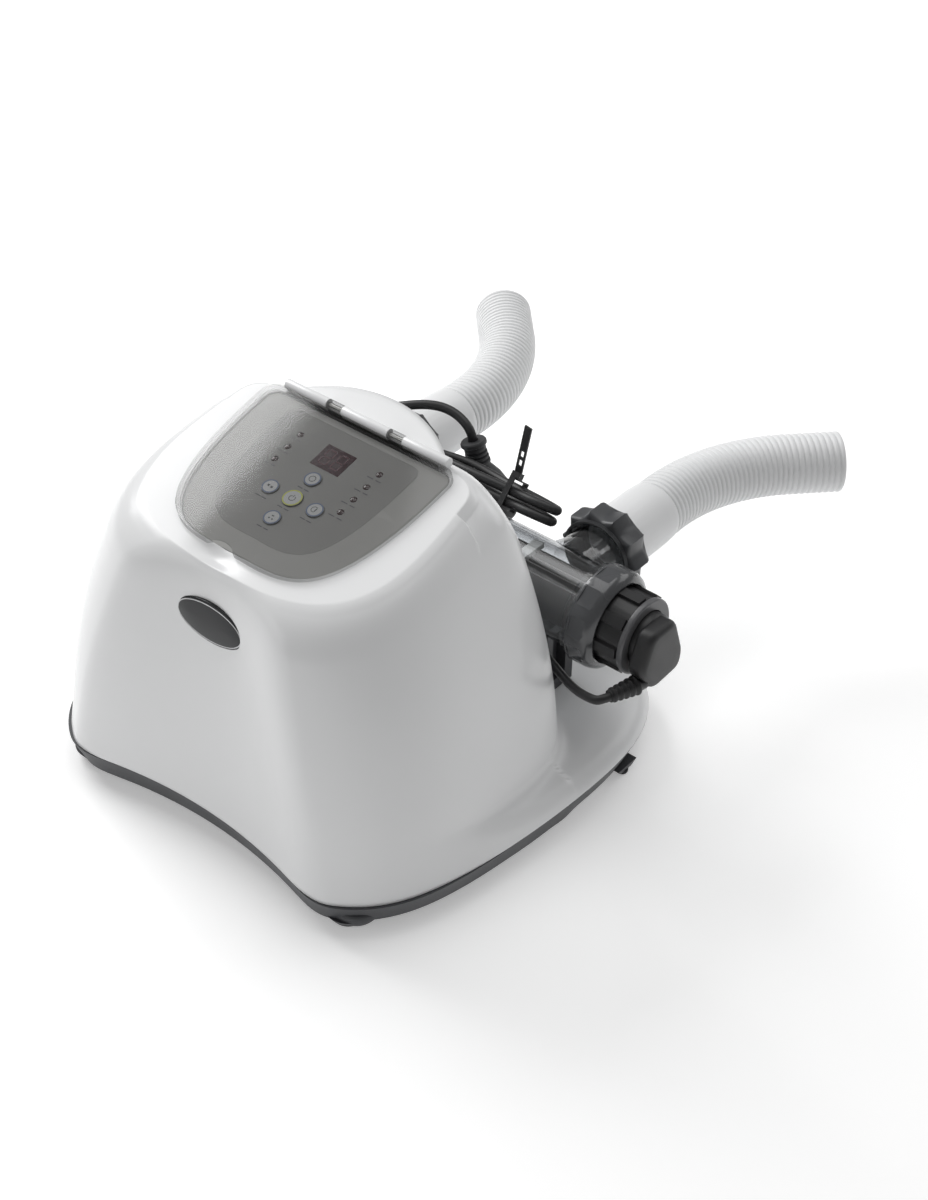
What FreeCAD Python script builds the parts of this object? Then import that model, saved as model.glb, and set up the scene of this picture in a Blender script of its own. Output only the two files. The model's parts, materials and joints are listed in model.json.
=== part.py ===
import FreeCAD, Part
import math
import os
from FreeCAD import Vector, Placement, Rotation

# Salt chlorine generator for a small pool, in millimetres.
# The origin is on the ground at the middle of the base; +X right, +Y to the rear, +Z up.

# ---------------------------------------------------------------- driving dimensions
WALL = 3.0              # wall of the white housing
GAP = 0.4               # gap between fixed mouldings
RUN = 0.05              # radial running clearance of pins in bores

SEAM_Z = 25.0           # seam between white housing and grey tray
BASE_Y = 20.0           # widest place of the base
BASE_FRONT = 205.0      # from there to the front
BASE_REAR = 160.0       # and to the rear
BASE_HALF = 180.0       # half width in front
BASE_FLARE = 7.0        # extra half width at the rear
BASE_POWER = 3.2        # roundness of the base outline

BELL_FOOT = 28.0        # height where the bell's widths are given
BELL_RISE = 232.0       # height range of the bell's widths
BELL_HALF = (164.0, 18.0, -73.0)     # half width: foot, linear, square term
BELL_FRONT = (-184.0, 25.5, 19.5)    # front wall
BELL_BACK = (67.0, -37.0)            # back wall
BELL_MIDDLE = (-66.0, 54.0)          # line between front and back quadrants
BELL_POWER_FRONT = 3.04
BELL_POWER_BACK = 4.8
BELL_ROUND = 19.5       # rounding around the sloping top
BACK_SLANT = (17.0, 258.1, 1.1)      # slant behind the hinge: its y and z at the top, and its steepness
ROUND_BLEND = 1.17      # width of a soft corner for each millimetre of its radius

SLOPE = 13.8            # slope of the control panel, degrees
PANEL_Y = -61.5         # middle button: y and z
PANEL_Z = 237.5
TOP_RISE = 1.3          # white top above the panel face

BUTTON_R = 6.2
POWER_BUTTON_R = 7.2
BUTTON_ARM = 20.0       # spacing of the cross of buttons
BUTTON_TRAVEL = 0.8
BUTTON_CLEAR = 0.15
LED_R = 2.5
LED_COLUMN = 35.3
LED_FIRST = 47.0        # upslope of the middle button
LED_PITCH = 13.0
WINDOW_X, WINDOW_Y, WINDOW_UP = 25.0, 20.0, 40.7

HINGE_UP = 76.0         # hinge axis, upslope of the middle button
HINGE_RISE = 5.2        # and above the panel face
HINGE_R = 3.7
HINGE_PIN_R = 1.5
KNUCKLE_X, KNUCKLE_W = 27.2, 13.0

CELL_Y, CELL_Z = 77.6, 137.7         # axis of the cell vessel, along X
CELL_R, CELL_BORE = 31.0, 28.0
CELL_LEFT, CELL_RIGHT = -112.0, 156.0
PORT_X = (-79.3, 111.0)
PORT_R, PORT_BORE = 23.0, 20.0
PORT_END = 146.0
THREAD_R = 25.5
NUT_R, NUT_NEAR, NUT_FAR, NUT_LOBES = 33.1, 130.6, 152.1, 10
LOBE_DEPTH = 3.6
COLLAR_R, COLLAR_LEFT, COLLAR_RIGHT, COLLAR_OPENING = 36.7, 150.3, 170.0, 30.0
HOSE_R, HOSE_BORE = 23.0, 19.0       # for 38 mm pool hose
HOSE_LEAD, HOSE_BEND, HOSE_TURN, HOSE_TAIL = 12.0, 150.0, 43.2, 40.0
CUFF_R = 24.2
CORD_R, CABLE_R = 3.5, 3.2

MOUNT_X, MOUNT_Y, MOUNT_HOLE_R = 118.0, 150.0, 4.0


# ---------------------------------------------------------------- helpers
def box(x0, x1, y0, y1, z0, z1):
    return Part.makeBox(x1 - x0, y1 - y0, z1 - z0, Vector(x0, y0, z0))


def rod(r, start, end):
    """Cylinder of radius r from start to end."""
    a, b = Vector(*start), Vector(*end)
    return Part.makeCylinder(r, (b - a).Length, a, b - a)


def tube(r_out, r_in, start, end):
    return rod(r_out, start, end).cut(rod(r_in, start, end))


def cone(r0, r1, start, end):
    a, b = Vector(*start), Vector(*end)
    return Part.makeCone(r0, r1, (b - a).Length, a, b - a)


def fused(shapes):
    result = shapes[0]
    for shape in shapes[1:]:
        result = result.fuse(shape)
    return result.removeSplitter()


def turned(profile, start, axis):
    """Solid of revolution: profile holds (distance along axis, radius) corners."""
    pts = [Vector(r, 0, d) for d, r in profile]
    pts.append(pts[0])
    face = Part.Face(Part.makePolygon(pts))
    solid = face.revolve(Vector(0, 0, 0), Vector(0, 0, 1), 360)
    solid.Placement = Placement(Vector(*start), Rotation(Vector(0, 0, 1), Vector(*axis)))
    return solid


def smooth_wire(points):
    curve = Part.BSplineCurve()
    curve.interpolate(Points=points, PeriodicFlag=True)
    return Part.Wire([curve.toShape()])


def loft(sections):
    return Part.makeLoft([smooth_wire(s) for s in sections], True, False)


def pipe(points, r):
    """Round pipe along a smooth curve through the points."""
    curve = Part.BSplineCurve()
    curve.interpolate([Vector(*p) for p in points])
    spine = Part.Wire([curve.toShape()])
    start, along = curve.value(curve.FirstParameter), curve.tangent(curve.FirstParameter)[0]
    ring = Part.Wire([Part.makeCircle(r, start, along)])
    return spine.makePipeShell([ring], True, False)


def cord(points, r, step):
    """Round cord through the points, made of short straight stretches mitred together."""
    curve = Part.BSplineCurve()
    curve.interpolate([Vector(*p) for p in points])
    places = curve.discretize(Distance=step)
    side = Vector(1, 0, 0)
    rings = []
    for i, place in enumerate(places):
        before = places[max(i - 1, 0)]
        after = places[min(i + 1, len(places) - 1)]
        along = (after - before).normalize()
        side = (side - along * side.dot(along)).normalize()
        rings.append(ring_wire(place, along, side, r))
    return Part.makeLoft(rings, True, True)


def ring_wire(place, along, side, r):
    """Circle about a place, square to along, with its seam towards side."""
    ring = Part.Circle(Vector(0, 0, 0), Vector(0, 0, 1), r).toShape()
    up = along.cross(side)
    ring.transformShape(FreeCAD.Matrix(side.x, up.x, along.x, place.x, side.y, up.y, along.y, place.y,
                                       side.z, up.z, along.z, place.z, 0, 0, 0, 1))
    return Part.Wire([ring])


def sheet(height, xs, zs):
    """Smooth face y = height(x, z) over a grid."""
    surface = Part.BSplineSurface()
    surface.interpolate([[Vector(x, height(x, z), z) for z in zs] for x in xs])
    return surface.toShape()


def span(first, last, count):
    return [first + (last - first) * i / (count - 1) for i in range(count)]


def unit_corner(angle, power):
    """Point on the unit superellipse in the direction of the angle."""
    c, s = math.cos(angle), math.sin(angle)
    r = (abs(c) ** power + abs(s) ** power) ** (-1.0 / power)
    return c * r, s * r


def mirrored(shape):
    return shape.mirror(Vector(0, 0, 0), Vector(1, 0, 0))


def moved(shape, x):
    shape = shape.copy()
    shape.translate(Vector(x, 0, 0))
    return shape


def biggest(shape):
    return max(shape.Solids, key=lambda s: s.Volume)


# ---------------------------------------------------------------- housing surface
TAN = math.tan(math.radians(SLOPE))
COS = math.cos(math.radians(SLOPE))
AROUND = 72             # points round each section
HUB = (0.0, -10.0, 8.0)     # inner point that sees the whole housing surface


def soft_max(a, b, k):
    """Larger of a and b with their crossing rounded over the width k."""
    h = max(k - abs(a - b), 0.0) / k
    return max(a, b) + h * h * k / 4


def soft_min(a, b, k):
    return -soft_max(-a, -b, k)


def bell_widths(z):
    """Half width, front wall, back wall and dividing line of the bell at a height."""
    h = (z - BELL_FOOT) / BELL_RISE
    half = BELL_HALF[0] + BELL_HALF[1] * h + BELL_HALF[2] * h * h
    front = BELL_FRONT[0] + BELL_FRONT[1] * h + BELL_FRONT[2] * h * h
    return half, front, BELL_BACK[0] + BELL_BACK[1] * h, BELL_MIDDLE[0] + BELL_MIDDLE[1] * h


def oval(x, y, half, reach, power):
    """Distance outside a superellipse, near enough close to its edge."""
    r = (abs(x / half) ** power + abs(y / reach) ** power) ** (1 / power)
    return (r - 1) * min(half, reach)


def bell_field(x, y, z):
    half, front, back, middle = bell_widths(z)
    if y < middle:
        side = oval(x, y - middle, half, middle - front, BELL_POWER_FRONT)
    else:
        side = oval(x, y - middle, half, back - middle, BELL_POWER_BACK)
    top = (z - PANEL_Z - (y - PANEL_Y) * TAN) * COS - TOP_RISE
    dome = soft_max(side, top, ROUND_BLEND * BELL_ROUND)
    behind_hinge = (z - BACK_SLANT[1] + BACK_SLANT[2] * (y - BACK_SLANT[0])) / math.hypot(1.0, BACK_SLANT[2])
    return soft_max(dome, behind_hinge, 6.0)


def base_half(y):
    return BASE_HALF + BASE_FLARE / (1 + math.exp(-(y + 20) / 25.0))


def base_field(x, y):
    reach = BASE_FRONT if y < BASE_Y else BASE_REAR
    return oval(x, y - BASE_Y, base_half(y), reach, BASE_POWER)


def arch_face(x, z):
    """Hollow front face between the two ridges."""
    lean = -156.9 + 0.109 * (z - SEAM_Z)
    bow = 0.0014 + 0.0019 * max((z - SEAM_Z) / 160.0, 0.0) ** 1.4
    return lean - bow * x * x


def shelf_top(x, y):
    """Shelf surface: high beside the front, low beside the cell, rising inwards."""
    edge = 30.0 + 36.0 / (1 + math.exp((y + 92) / 30.0))
    return edge + 14.0 * (1 - math.exp(-max(-base_field(x, y), -8.0) / 14.0))


def housing_field(x, y, z):
    """Negative inside the solid housing, positive outside, about a distance near its skin."""
    wall = base_field(x, y) + 0.27 * (z - SEAM_Z)
    shelf = soft_max(wall, z - shelf_top(x, y), 7.0)
    body = soft_min(bell_field(x, y, z), shelf, 16.0)
    body = soft_max(body, arch_face(x, z) - y, 12.0)
    return soft_max(body, CELL_R + 3.5 - math.hypot(y - CELL_Y, z - CELL_Z), 6.0)


def skirt_field(x, y, z):
    """Outline of the tray: follows the housing at the seam and tapers below it."""
    taper = 0.33 * (SEAM_Z - z)
    return housing_field(x, y, SEAM_Z) + taper


def on_skin(field, start, through, offset):
    """Point on the skin of a field, on the ray from start through a guide point."""
    inside, outside = 0.1, 3.4
    for _ in range(28):
        t = (inside + outside) / 2
        p = [a + (b - a) * t for a, b in zip(start, through)]
        if field(*p) + offset < 0:
            inside = t
        else:
            outside = t
    return Vector(*p)


def direction(i, power):
    """Unit superellipse point number i of a section."""
    angle = 2 * math.pi * i / AROUND
    c, s = math.cos(angle), math.sin(angle)
    r = (abs(c) ** power + abs(s) ** power) ** (-1 / power)
    return c * r, s * r


def bell_guide(i, start, level, swing):
    """Place on the plain bell in direction i: level 0 is at the start height and 1 where the top
    rounding begins, and swing is the angle travelled round that rounding."""
    ux, uy = direction(i, BELL_POWER_FRONT if i > AROUND / 2 else BELL_POWER_BACK)
    out = BELL_ROUND * (math.cos(math.radians(swing)) - 1)
    lift = BELL_ROUND * math.sin(math.radians(swing)) / COS
    y = 0.0
    for _ in range(6):
        top = PANEL_Z + (TOP_RISE - BELL_ROUND) / COS + (y - PANEL_Y) * TAN
        z = start + level * (top - start)
        half, front, back, middle = bell_widths(z)
        reach = middle - front if uy < 0 else back - middle
        y = middle + uy * (reach + out)
    return ux * (half + out), y, z + lift


def shelf_guide(i, inward):
    """Place on the shelf in direction i, between its outer edge (0) and the bell (1)."""
    ux, uy = direction(i, BASE_POWER)
    y0 = BASE_Y + uy * (BASE_FRONT if uy < 0 else BASE_REAR)
    x0 = ux * base_half(y0)
    x1, y1, _ = bell_guide(i, SEAM_Z, 0.05, 0)
    x, y = x0 + (x1 - x0) * inward, y0 + (y1 - y0) * inward
    return x, y, shelf_top(x, y) + 12.0 * inward


def level_section(field, z, offset):
    """Closed section of a field in a level plane."""
    points = []
    for i in range(AROUND):
        x, y, _ = shelf_guide(i, 0.0)
        points.append(on_skin(field, (HUB[0], HUB[1], z), (x, y, z), offset))
    return points


INWARD = (0.0, 0.03, 0.08, 0.17, 0.3, 0.5, 0.7, 0.86, 1.0)
LEVELS = (0.04, 0.1, 0.18, 0.28, 0.4, 0.52, 0.64, 0.76, 0.86, 0.94, 1.0)
SWINGS = (18, 36, 54, 72)


def cap_section(offset):
    """Closed section on the flat sloping top, inside the rounding."""
    points = []
    for i in range(AROUND):
        x, y, _ = bell_guide(i, SEAM_Z, 1.0, 90)
        x, y = x * 0.98, PANEL_Y + (y - PANEL_Y) * 0.98
        points.append(Vector(x, y, PANEL_Z + (y - PANEL_Y) * TAN + (TOP_RISE - offset) / COS))
    return points


def housing_sections(offset):
    sections = [level_section(housing_field, SEAM_Z + GAP / 2, offset)]
    for inward in INWARD:
        sections.append([on_skin(housing_field, HUB, shelf_guide(i, inward), offset) for i in range(AROUND)])
    starts = [shelf_guide(i, 1.0)[2] for i in range(AROUND)]
    for level, swing in [(t, 0) for t in LEVELS] + [(1.0, a) for a in SWINGS]:
        guides = [bell_guide(i, starts[i], level, swing) for i in range(AROUND)]
        sections.append([on_skin(housing_field, HUB, g, offset) for g in guides])
    return sections + [cap_section(offset)]


def skin(sections):
    """Open side face through closed sections, with its first and last wire."""
    wires = [smooth_wire(s) for s in sections]
    side = Part.makeLoft(wires, False, True)
    return side, wires[0], wires[-1]


def closed_solid(faces):
    """Solid bounded by the faces, turned the right way out."""
    shell = Part.makeShell(faces)
    shell.sewShape()
    solid = Part.Solid(shell)
    if solid.Orientation == "Reversed" or solid.Volume < 0:
        shell.reverse()
        solid = Part.Solid(shell)
    return solid


def ring_face(wires):
    return Part.makeFace(wires, "Part::FaceMakerBullseye")


def cup(outer, inner):
    """Thin-walled solid open at the first section and closed at the last one."""
    out_side, out_rim, out_end = skin(outer)
    in_side, in_rim, in_end = skin(inner)
    rim = ring_face([out_rim, in_rim])
    return closed_solid(out_side.Faces + in_side.Faces + [rim, Part.Face(out_end), Part.Face(in_end)])


def shield(half, top, shoulder, bottom, corner):
    """Outline of cover, frame and overlay on the panel: straight top, bowed sides and foot."""
    steps = 9
    side = []
    for i in range(steps):
        s = math.sin(0.5 * math.pi * i / (steps - 1))
        w = half * (1 - s ** 2.4) ** (1 / 4.5) if i < steps - 1 else 0.0
        side.append(Vector(w, shoulder + (bottom - shoulder) * s, 0))
    lower = side + [Vector(-p.x, p.y, 0) for p in reversed(side[:-1])]
    curve = Part.BSplineCurve()
    curve.interpolate(Points=lower, InitialTangent=Vector(0, -60, 0), FinalTangent=Vector(0, 60, 0))
    k = corner * (1 - math.sqrt(0.5))
    a, b, c = Vector(half, top - corner, 0), Vector(half - k, top - k, 0), Vector(half - corner, top, 0)
    left = [Vector(-p.x, p.y, 0) for p in (a, b, c)]
    edges = [Part.LineSegment(a, side[0]).toShape(), curve.toShape()]
    edges.append(Part.LineSegment(Vector(-half, shoulder, 0), left[0]).toShape())
    edges.append(Part.Arc(left[0], left[1], left[2]).toShape())
    edges.append(Part.LineSegment(left[2], c).toShape())
    edges.append(Part.Arc(c, b, a).toShape())
    return Part.Face(Part.Wire(Part.__sortEdges__(edges)))


def slab(face, low, high):
    """Plate from a face in panel coordinates between two heights above the panel."""
    plate = face.copy()
    plate.translate(Vector(0, 0, low))
    return plate.extrude(Vector(0, 0, high - low))


def on_panel(shape):
    """Move a shape from panel coordinates (x, upslope, normal) to its place."""
    shape = shape.copy()
    shape.Placement = Placement(Vector(0, PANEL_Y, PANEL_Z), Rotation(Vector(1, 0, 0), SLOPE)).multiply(
        shape.Placement)
    return shape


COVER = (84.0, 72.0, 60.0, -60.0, 11.0)
FRAME = (80.6, 70.0, 58.0, -56.5, 9.0)
OVERLAY = (58.0, 64.5, 50.0, -39.5, 8.0)


def grown(outline, by):
    half, top, shoulder, bottom, corner = outline
    return shield(half + by, top + by, shoulder, bottom - by, corner + by)


BUTTONS = {
    "button_power": (0.0, 0.0),
    "button_lock": (0.0, BUTTON_ARM),
    "button_timer": (-BUTTON_ARM, 0.0),
    "button_boost": (BUTTON_ARM, 0.0),
    "button_clean": (0.0, -BUTTON_ARM),
}


def button_radius(name):
    return POWER_BUTTON_R if name == "button_power" else BUTTON_R


def led_places():
    left = [(-LED_COLUMN, LED_FIRST - i * LED_PITCH) for i in range(3)]
    right = [(LED_COLUMN, LED_FIRST - i * LED_PITCH) for i in range(4)]
    return left + right


# ---------------------------------------------------------------- enclosure
BOSSES = ((168.0, 20.0), (146.0, 112.0), (60.0, 160.0))
FOOT_FRONT = (122.0, -147.0)
CORD_GLAND = (-62.0, 184.0)      # x and z on the back wall
CELL_GLAND = (72.0, 100.0)
SENSOR_GLAND = (-104.0, 96.0)
GLANDS = ((CORD_GLAND, 8.0), (CELL_GLAND, 6.0), (SENSOR_GLAND, 6.0))


def outline_wire(outline, by, height):
    """Outline of a panel piece, grown by a margin, at a height above the panel face."""
    plate = grown(outline, by)
    plate.translate(Vector(0, 0, height))
    return on_panel(plate).OuterWire


def panel_well():
    """Walls of the pocket the panel sits in, from the top of the housing to its opening."""
    levels = [(GAP, TOP_RISE, -2.0), (-5.0, -2.0, -5.0), (1.2, -5.0, TOP_RISE - WALL)]
    down = Vector(0, -math.sin(math.radians(SLOPE)), math.cos(math.radians(SLOPE)))
    walls = [outline_wire(FRAME, by, start).extrude(down * (end - start)) for by, start, end in levels]
    floor = ring_face([outline_wire(FRAME, GAP, -2.0), outline_wire(FRAME, -5.0, -2.0)])
    under = ring_face([outline_wire(FRAME, 1.2, -5.0), outline_wire(FRAME, -5.0, -5.0)])
    return [face for wall in walls for face in wall.Faces] + [floor, under]


def hinge_bar():
    """White barrel pieces standing on the top, between and beside the cover's knuckles."""
    inner = KNUCKLE_X - KNUCKLE_W / 2 - 0.3
    outer = KNUCKLE_X + KNUCKLE_W / 2 + 0.3
    bore = rod(HINGE_PIN_R + RUN, (-44, HINGE_UP, HINGE_RISE), (44, HINGE_UP, HINGE_RISE))
    pieces = []
    for x0, x1 in ((-72, -outer), (-inner, inner), (outer, 72)):
        barrel = rod(HINGE_R, (x0, HINGE_UP, HINGE_RISE), (x1, HINGE_UP, HINGE_RISE))
        foot = box(x0, x1, HINGE_UP - 2.6, HINGE_UP + 2.6, TOP_RISE + 0.05, HINGE_RISE)
        pieces.append(on_panel(barrel.fuse(foot).cut(bore).removeSplitter()))
    return Part.makeCompound(pieces)


def housing_plain():
    """Housing moulding with the panel pocket, before bosses and holes."""
    out_side, out_rim, out_end = skin(housing_sections(0.0))
    in_side, in_rim, in_end = skin(housing_sections(WALL))
    top = ring_face([out_end, outline_wire(FRAME, GAP, TOP_RISE)])
    under = ring_face([in_end, outline_wire(FRAME, 1.2, TOP_RISE - WALL)])
    rim = ring_face([out_rim, in_rim])
    return closed_solid(out_side.Faces + in_side.Faces + [rim, top, under] + panel_well())


def housing_shell():
    posts = []
    for x, y in BOSSES:
        post = rod(5.0, (x, y, SEAM_Z + 5), (x, y, shelf_top(x, y) - WALL / 2))
        posts += [post, mirrored(post)]
    cuts = []
    for x, y in BOSSES:
        cuts += [rod(1.6, (s * x, y, 0), (s * x, y, SEAM_Z + 9)) for s in (-1, 1)]
    cuts += [rod(r, (x, 20, z), (x, 90, z)) for (x, z), r in GLANDS]
    for s in (-1, 1):
        cuts.append(rod(7.0 + GAP, (s * MOUNT_X, MOUNT_Y, 0), (s * MOUNT_X, MOUNT_Y, 90)))
    cuts += [rod(2.2, (x, y, 20), (x, y, 60)) for x, y in bracket_holes()]
    return biggest(housing_plain().multiFuse(posts).cut(cuts))


TRAY_FLOOR = 9.0
TRAY_FOOT = 6.0


def base_tray():
    seam = SEAM_Z - GAP / 2
    outer = [level_section(skirt_field, z, 0.0) for z in (seam, 16.0, TRAY_FOOT)]
    inner = [level_section(skirt_field, z, WALL) for z in (seam, 16.0, TRAY_FLOOR)]
    tray = cup(outer, inner)
    bulge = cone(14, 17, (FOOT_FRONT[0], FOOT_FRONT[1], 3), (FOOT_FRONT[0], FOOT_FRONT[1], TRAY_FLOOR - 1))
    lug = loft_box((170, 182, 74, 96), (174, 181, 79, 91), TRAY_FLOOR - 1, 3.0)
    pieces = [tray, bulge, mirrored(bulge), lug, mirrored(lug)]
    cuts = []
    for s in (-1, 1):
        for x, y in BOSSES:
            pieces.append(rod(5.0, (s * x, y, TRAY_FOOT + 1), (s * x, y, SEAM_Z + 4.6)))
            cuts.append(rod(2.2, (s * x, y, 0), (s * x, y, 60)))
            cuts.append(rod(4.2, (s * x, y, 0), (s * x, y, TRAY_FOOT + 6)))
        pieces.append(rod(7.0, (s * MOUNT_X, MOUNT_Y, TRAY_FOOT + 1), (s * MOUNT_X, MOUNT_Y, 44)))
        cuts.append(rod(MOUNT_HOLE_R, (s * MOUNT_X, MOUNT_Y, 0), (s * MOUNT_X, MOUNT_Y, 60)))
    pieces.append(box(-52, 52, -80, -10, TRAY_FOOT + 2, FLOOR - 0.05))
    return biggest(tray.multiFuse(pieces[1:]).cut(cuts))


def loft_box(upper, lower, z_up, z_low):
    """Tapered block between two rectangles (x0, x1, y0, y1)."""
    wires = []
    for (x0, x1, y0, y1), z in ((lower, z_low), (upper, z_up)):
        corners = [Vector(x0, y0, z), Vector(x1, y0, z), Vector(x1, y1, z), Vector(x0, y1, z)]
        wires.append(Part.makePolygon(corners + [corners[0]]))
    return Part.makeLoft(wires, True, True)


def rubber_feet():
    front = turned([(0, 0), (0, 12), (1.5, 13), (3.0, 13), (3.0, 0)], (FOOT_FRONT[0], FOOT_FRONT[1], 0), (0, 0, 1))
    rear = turned([(0, 0), (0, 4.0), (1.0, 4.5), (3.0, 4.5), (3.0, 0)], (177.5, 85, 0), (0, 0, 1))
    return Part.makeCompound([front, mirrored(front), rear, mirrored(rear)])


def screw(x, y, z_head, shank, r_head=3.8, r=1.5):
    head = rod(r_head, (x, y, z_head), (x, y, z_head + 2.4))
    slot = box(x - 0.5, x + 0.5, y - 2.4, y + 2.4, z_head - 1, z_head + 1)
    return head.fuse(rod(r, (x, y, z_head), (x, y, z_head + shank))).cut(slot).removeSplitter()


def housing_screws():
    """Screws up through the tray into the housing, and through the shelf into the vessel brackets."""
    screws = [screw(s * x, y, 9.4, 22) for x, y in BOSSES for s in (-1, 1)]
    screws += [screw(x, y, shelf_height(x, y + 4) - 6.0, 14) for x, y in bracket_holes()]
    return Part.makeCompound(screws)


def badge():
    lean = math.degrees(math.atan(0.109))
    z = 182.0
    ring = Part.Ellipse(Vector(0, 0, 0), 31.0, 15.0)
    plate = Part.Face(Part.Wire([ring.toShape()])).extrude(Vector(0, 0, 3.4))
    plate.Placement = Placement(Vector(0, arch_face(0, z) + 0.4, z), Rotation(Vector(1, 0, 0), 90 - lean))
    return plate.cut(both_faces_behind())


def both_faces_behind():
    """Everything behind the hollow front face, to seat the badge on it."""
    face = sheet(lambda x, z: arch_face(x, z) - 0.05, span(-60, 60, 7), span(150, 215, 5))
    return face.extrude(Vector(0, 60, 0))


# ---------------------------------------------------------------- control panel
def panel_holes(low, high, clear):
    """Openings for buttons, lamps and window."""
    cuts = []
    for name, (x, y) in BUTTONS.items():
        cuts.append(rod(button_radius(name) + clear, (x, y, low), (x, y, high)))
    for x, y in led_places():
        cuts.append(rod(LED_R + 0.05, (x, y, low), (x, y, high)))
    wx, wy = WINDOW_X / 2 + 0.1, WINDOW_Y / 2 + 0.1
    cuts.append(box(-wx, wx, WINDOW_UP - wy, WINDOW_UP + wy, low, high))
    return Part.makeCompound(cuts)


def panel_fascia():
    plate = slab(shield(*FRAME), -2.0, 0.0).cut(slab(grown(OVERLAY, 0.1), -1.0, 1.0))
    skirt = slab(grown(FRAME, -5.5), -7.0, -2.0).cut(slab(grown(FRAME, -7.5), -8, -1))
    posts = [rod(3.0, (s * 50, y, -10.0), (s * 50, y, -2.0)) for s in (-1, 1) for y in (-18, 50)]
    plate = fused([plate, skirt] + posts)
    for s in (-1, 1):
        for y in (-18, 50):
            plate = plate.cut(rod(1.2, (s * 50, y, -11.0), (s * 50, y, -3.0)))
    return on_panel(plate.cut(panel_holes(-12, 4, BUTTON_CLEAR)))


def panel_overlay():
    return on_panel(slab(shield(*OVERLAY), -0.95, 0.0).cut(panel_holes(-4, 4, BUTTON_CLEAR)))


def display_window():
    x, y = WINDOW_X / 2, WINDOW_Y / 2
    return on_panel(box(-x, x, WINDOW_UP - y, WINDOW_UP + y, -1.9, 0.1))


def display_module():
    """Two-digit lamp block: seven raised bars for each digit, and its leads."""
    block = box(-12, 12, WINDOW_UP - 9, WINDOW_UP + 9, -9.4, -3.2)
    pieces = [block]
    for digit in (-5.2, 5.2):
        for y in (-5.5, 0.0, 5.5):
            pieces.append(box(digit - 2.2, digit + 2.2, WINDOW_UP + y - 0.6, WINDOW_UP + y + 0.6, -3.3, -2.3))
        for side in (-3.2, 3.2):
            for y in (-2.75, 2.75):
                x = digit + side
                pieces.append(box(x - 0.6, x + 0.6, WINDOW_UP + y - 1.9, WINDOW_UP + y + 1.9, -3.3, -2.3))
    for i in range(5):
        for y in (-7.6, 7.6):
            pieces.append(rod(0.4, (-5.08 + 2.54 * i, WINDOW_UP + y, -13), (-5.08 + 2.54 * i, WINDOW_UP + y, -9)))
    return on_panel(fused(pieces))


def led_lenses():
    lenses = []
    for x, y in led_places():
        lens = turned([(-4.5, 0), (-4.5, LED_R), (0.0, LED_R), (0.35, LED_R * 0.7), (0.5, 0)], (x, y, 0), (0, 0, 1))
        lenses.append(lens)
    return on_panel(Part.makeCompound(lenses))


def button(name):
    """Round key with a shallow dished face and a plunger below the panel."""
    r = button_radius(name)
    x, y = BUTTONS[name]
    profile = [(-3.4, 0), (-3.4, 2.0), (-1.9, 2.0), (-1.9, r), (0.6, r), (0.9, r - 0.35), (0.9, r - 1.2),
               (0.6, r - 1.5), (0.6, 0)]
    return on_panel(turned(profile, (x, y, 0), (0, 0, 1)))


def control_board():
    board = box(-56, 56, -26, 58, -11.7, -10.1)
    pieces = [board]
    for x, y in BUTTONS.values():
        pieces.append(box(x - 3, x + 3, y - 3, y + 3, -10.2, -5.6))
        pieces.append(rod(1.6, (x, y, -5.7), (x, y, -4.4)))
    for x, y in led_places():
        pieces.append(box(x - 2.2, x + 2.2, y - 2.2, y + 2.2, -10.2, -4.8))
    pieces.append(box(-44, -30, -20, -8, -14.6, -11.6))
    pieces.append(box(-12, 12, 2, 18, -15.0, -11.6))
    pieces.append(box(24, 46, -14, -6, -19.0, -11.6))
    board = fused(pieces)
    for s in (-1, 1):
        for y in (-18, 50):
            board = board.cut(rod(1.4, (s * 50, y, -12.5), (s * 50, y, -9.5)))
    for i in range(5):
        for y in (-7.6, 7.6):
            x = -5.08 + 2.54 * i
            board = board.cut(rod(0.5, (x, WINDOW_UP + y, -14), (x, WINDOW_UP + y, -9)))
    return on_panel(board)


def board_screws():
    screws = [screw(s * 50, y, -14.2, 9, 2.6, 1.1) for s in (-1, 1) for y in (-18, 50)]
    return on_panel(Part.makeCompound(screws))


def panel_cover():
    """Clear hinged lid with a rim, a finger notch and two knuckles."""
    low, high = TOP_RISE + 0.3, 6.0
    lid = slab(shield(*COVER), low, high).cut(slab(grown(COVER, -2.4), low - 1, high - 2.0))
    notch = turned([(-9, 0), (-9, 16.5), (9, 16.5), (9, 0)], (-8.0, COVER[3] - 11.5, 3), (0, 0, 1))
    lid = lid.cut(notch)
    arms = []
    for s in (-1, 1):
        x0, x1 = s * KNUCKLE_X - KNUCKLE_W / 2, s * KNUCKLE_X + KNUCKLE_W / 2
        arms.append(rod(HINGE_R, (x0, HINGE_UP, HINGE_RISE), (x1, HINGE_UP, HINGE_RISE)))
        arms.append(box(x0, x1, 69.5, HINGE_UP, TOP_RISE + 0.8, HINGE_RISE))
    lid = fused([lid] + arms)
    bore = rod(HINGE_PIN_R + RUN, (-44, HINGE_UP, HINGE_RISE), (44, HINGE_UP, HINGE_RISE))
    return on_panel(lid.cut(bore))


def cover_hinge_pin():
    return on_panel(rod(HINGE_PIN_R, (-43.5, HINGE_UP, HINGE_RISE), (43.5, HINGE_UP, HINGE_RISE)))


# ---------------------------------------------------------------- power supply inside the bell
FLOOR = 12.05


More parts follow.
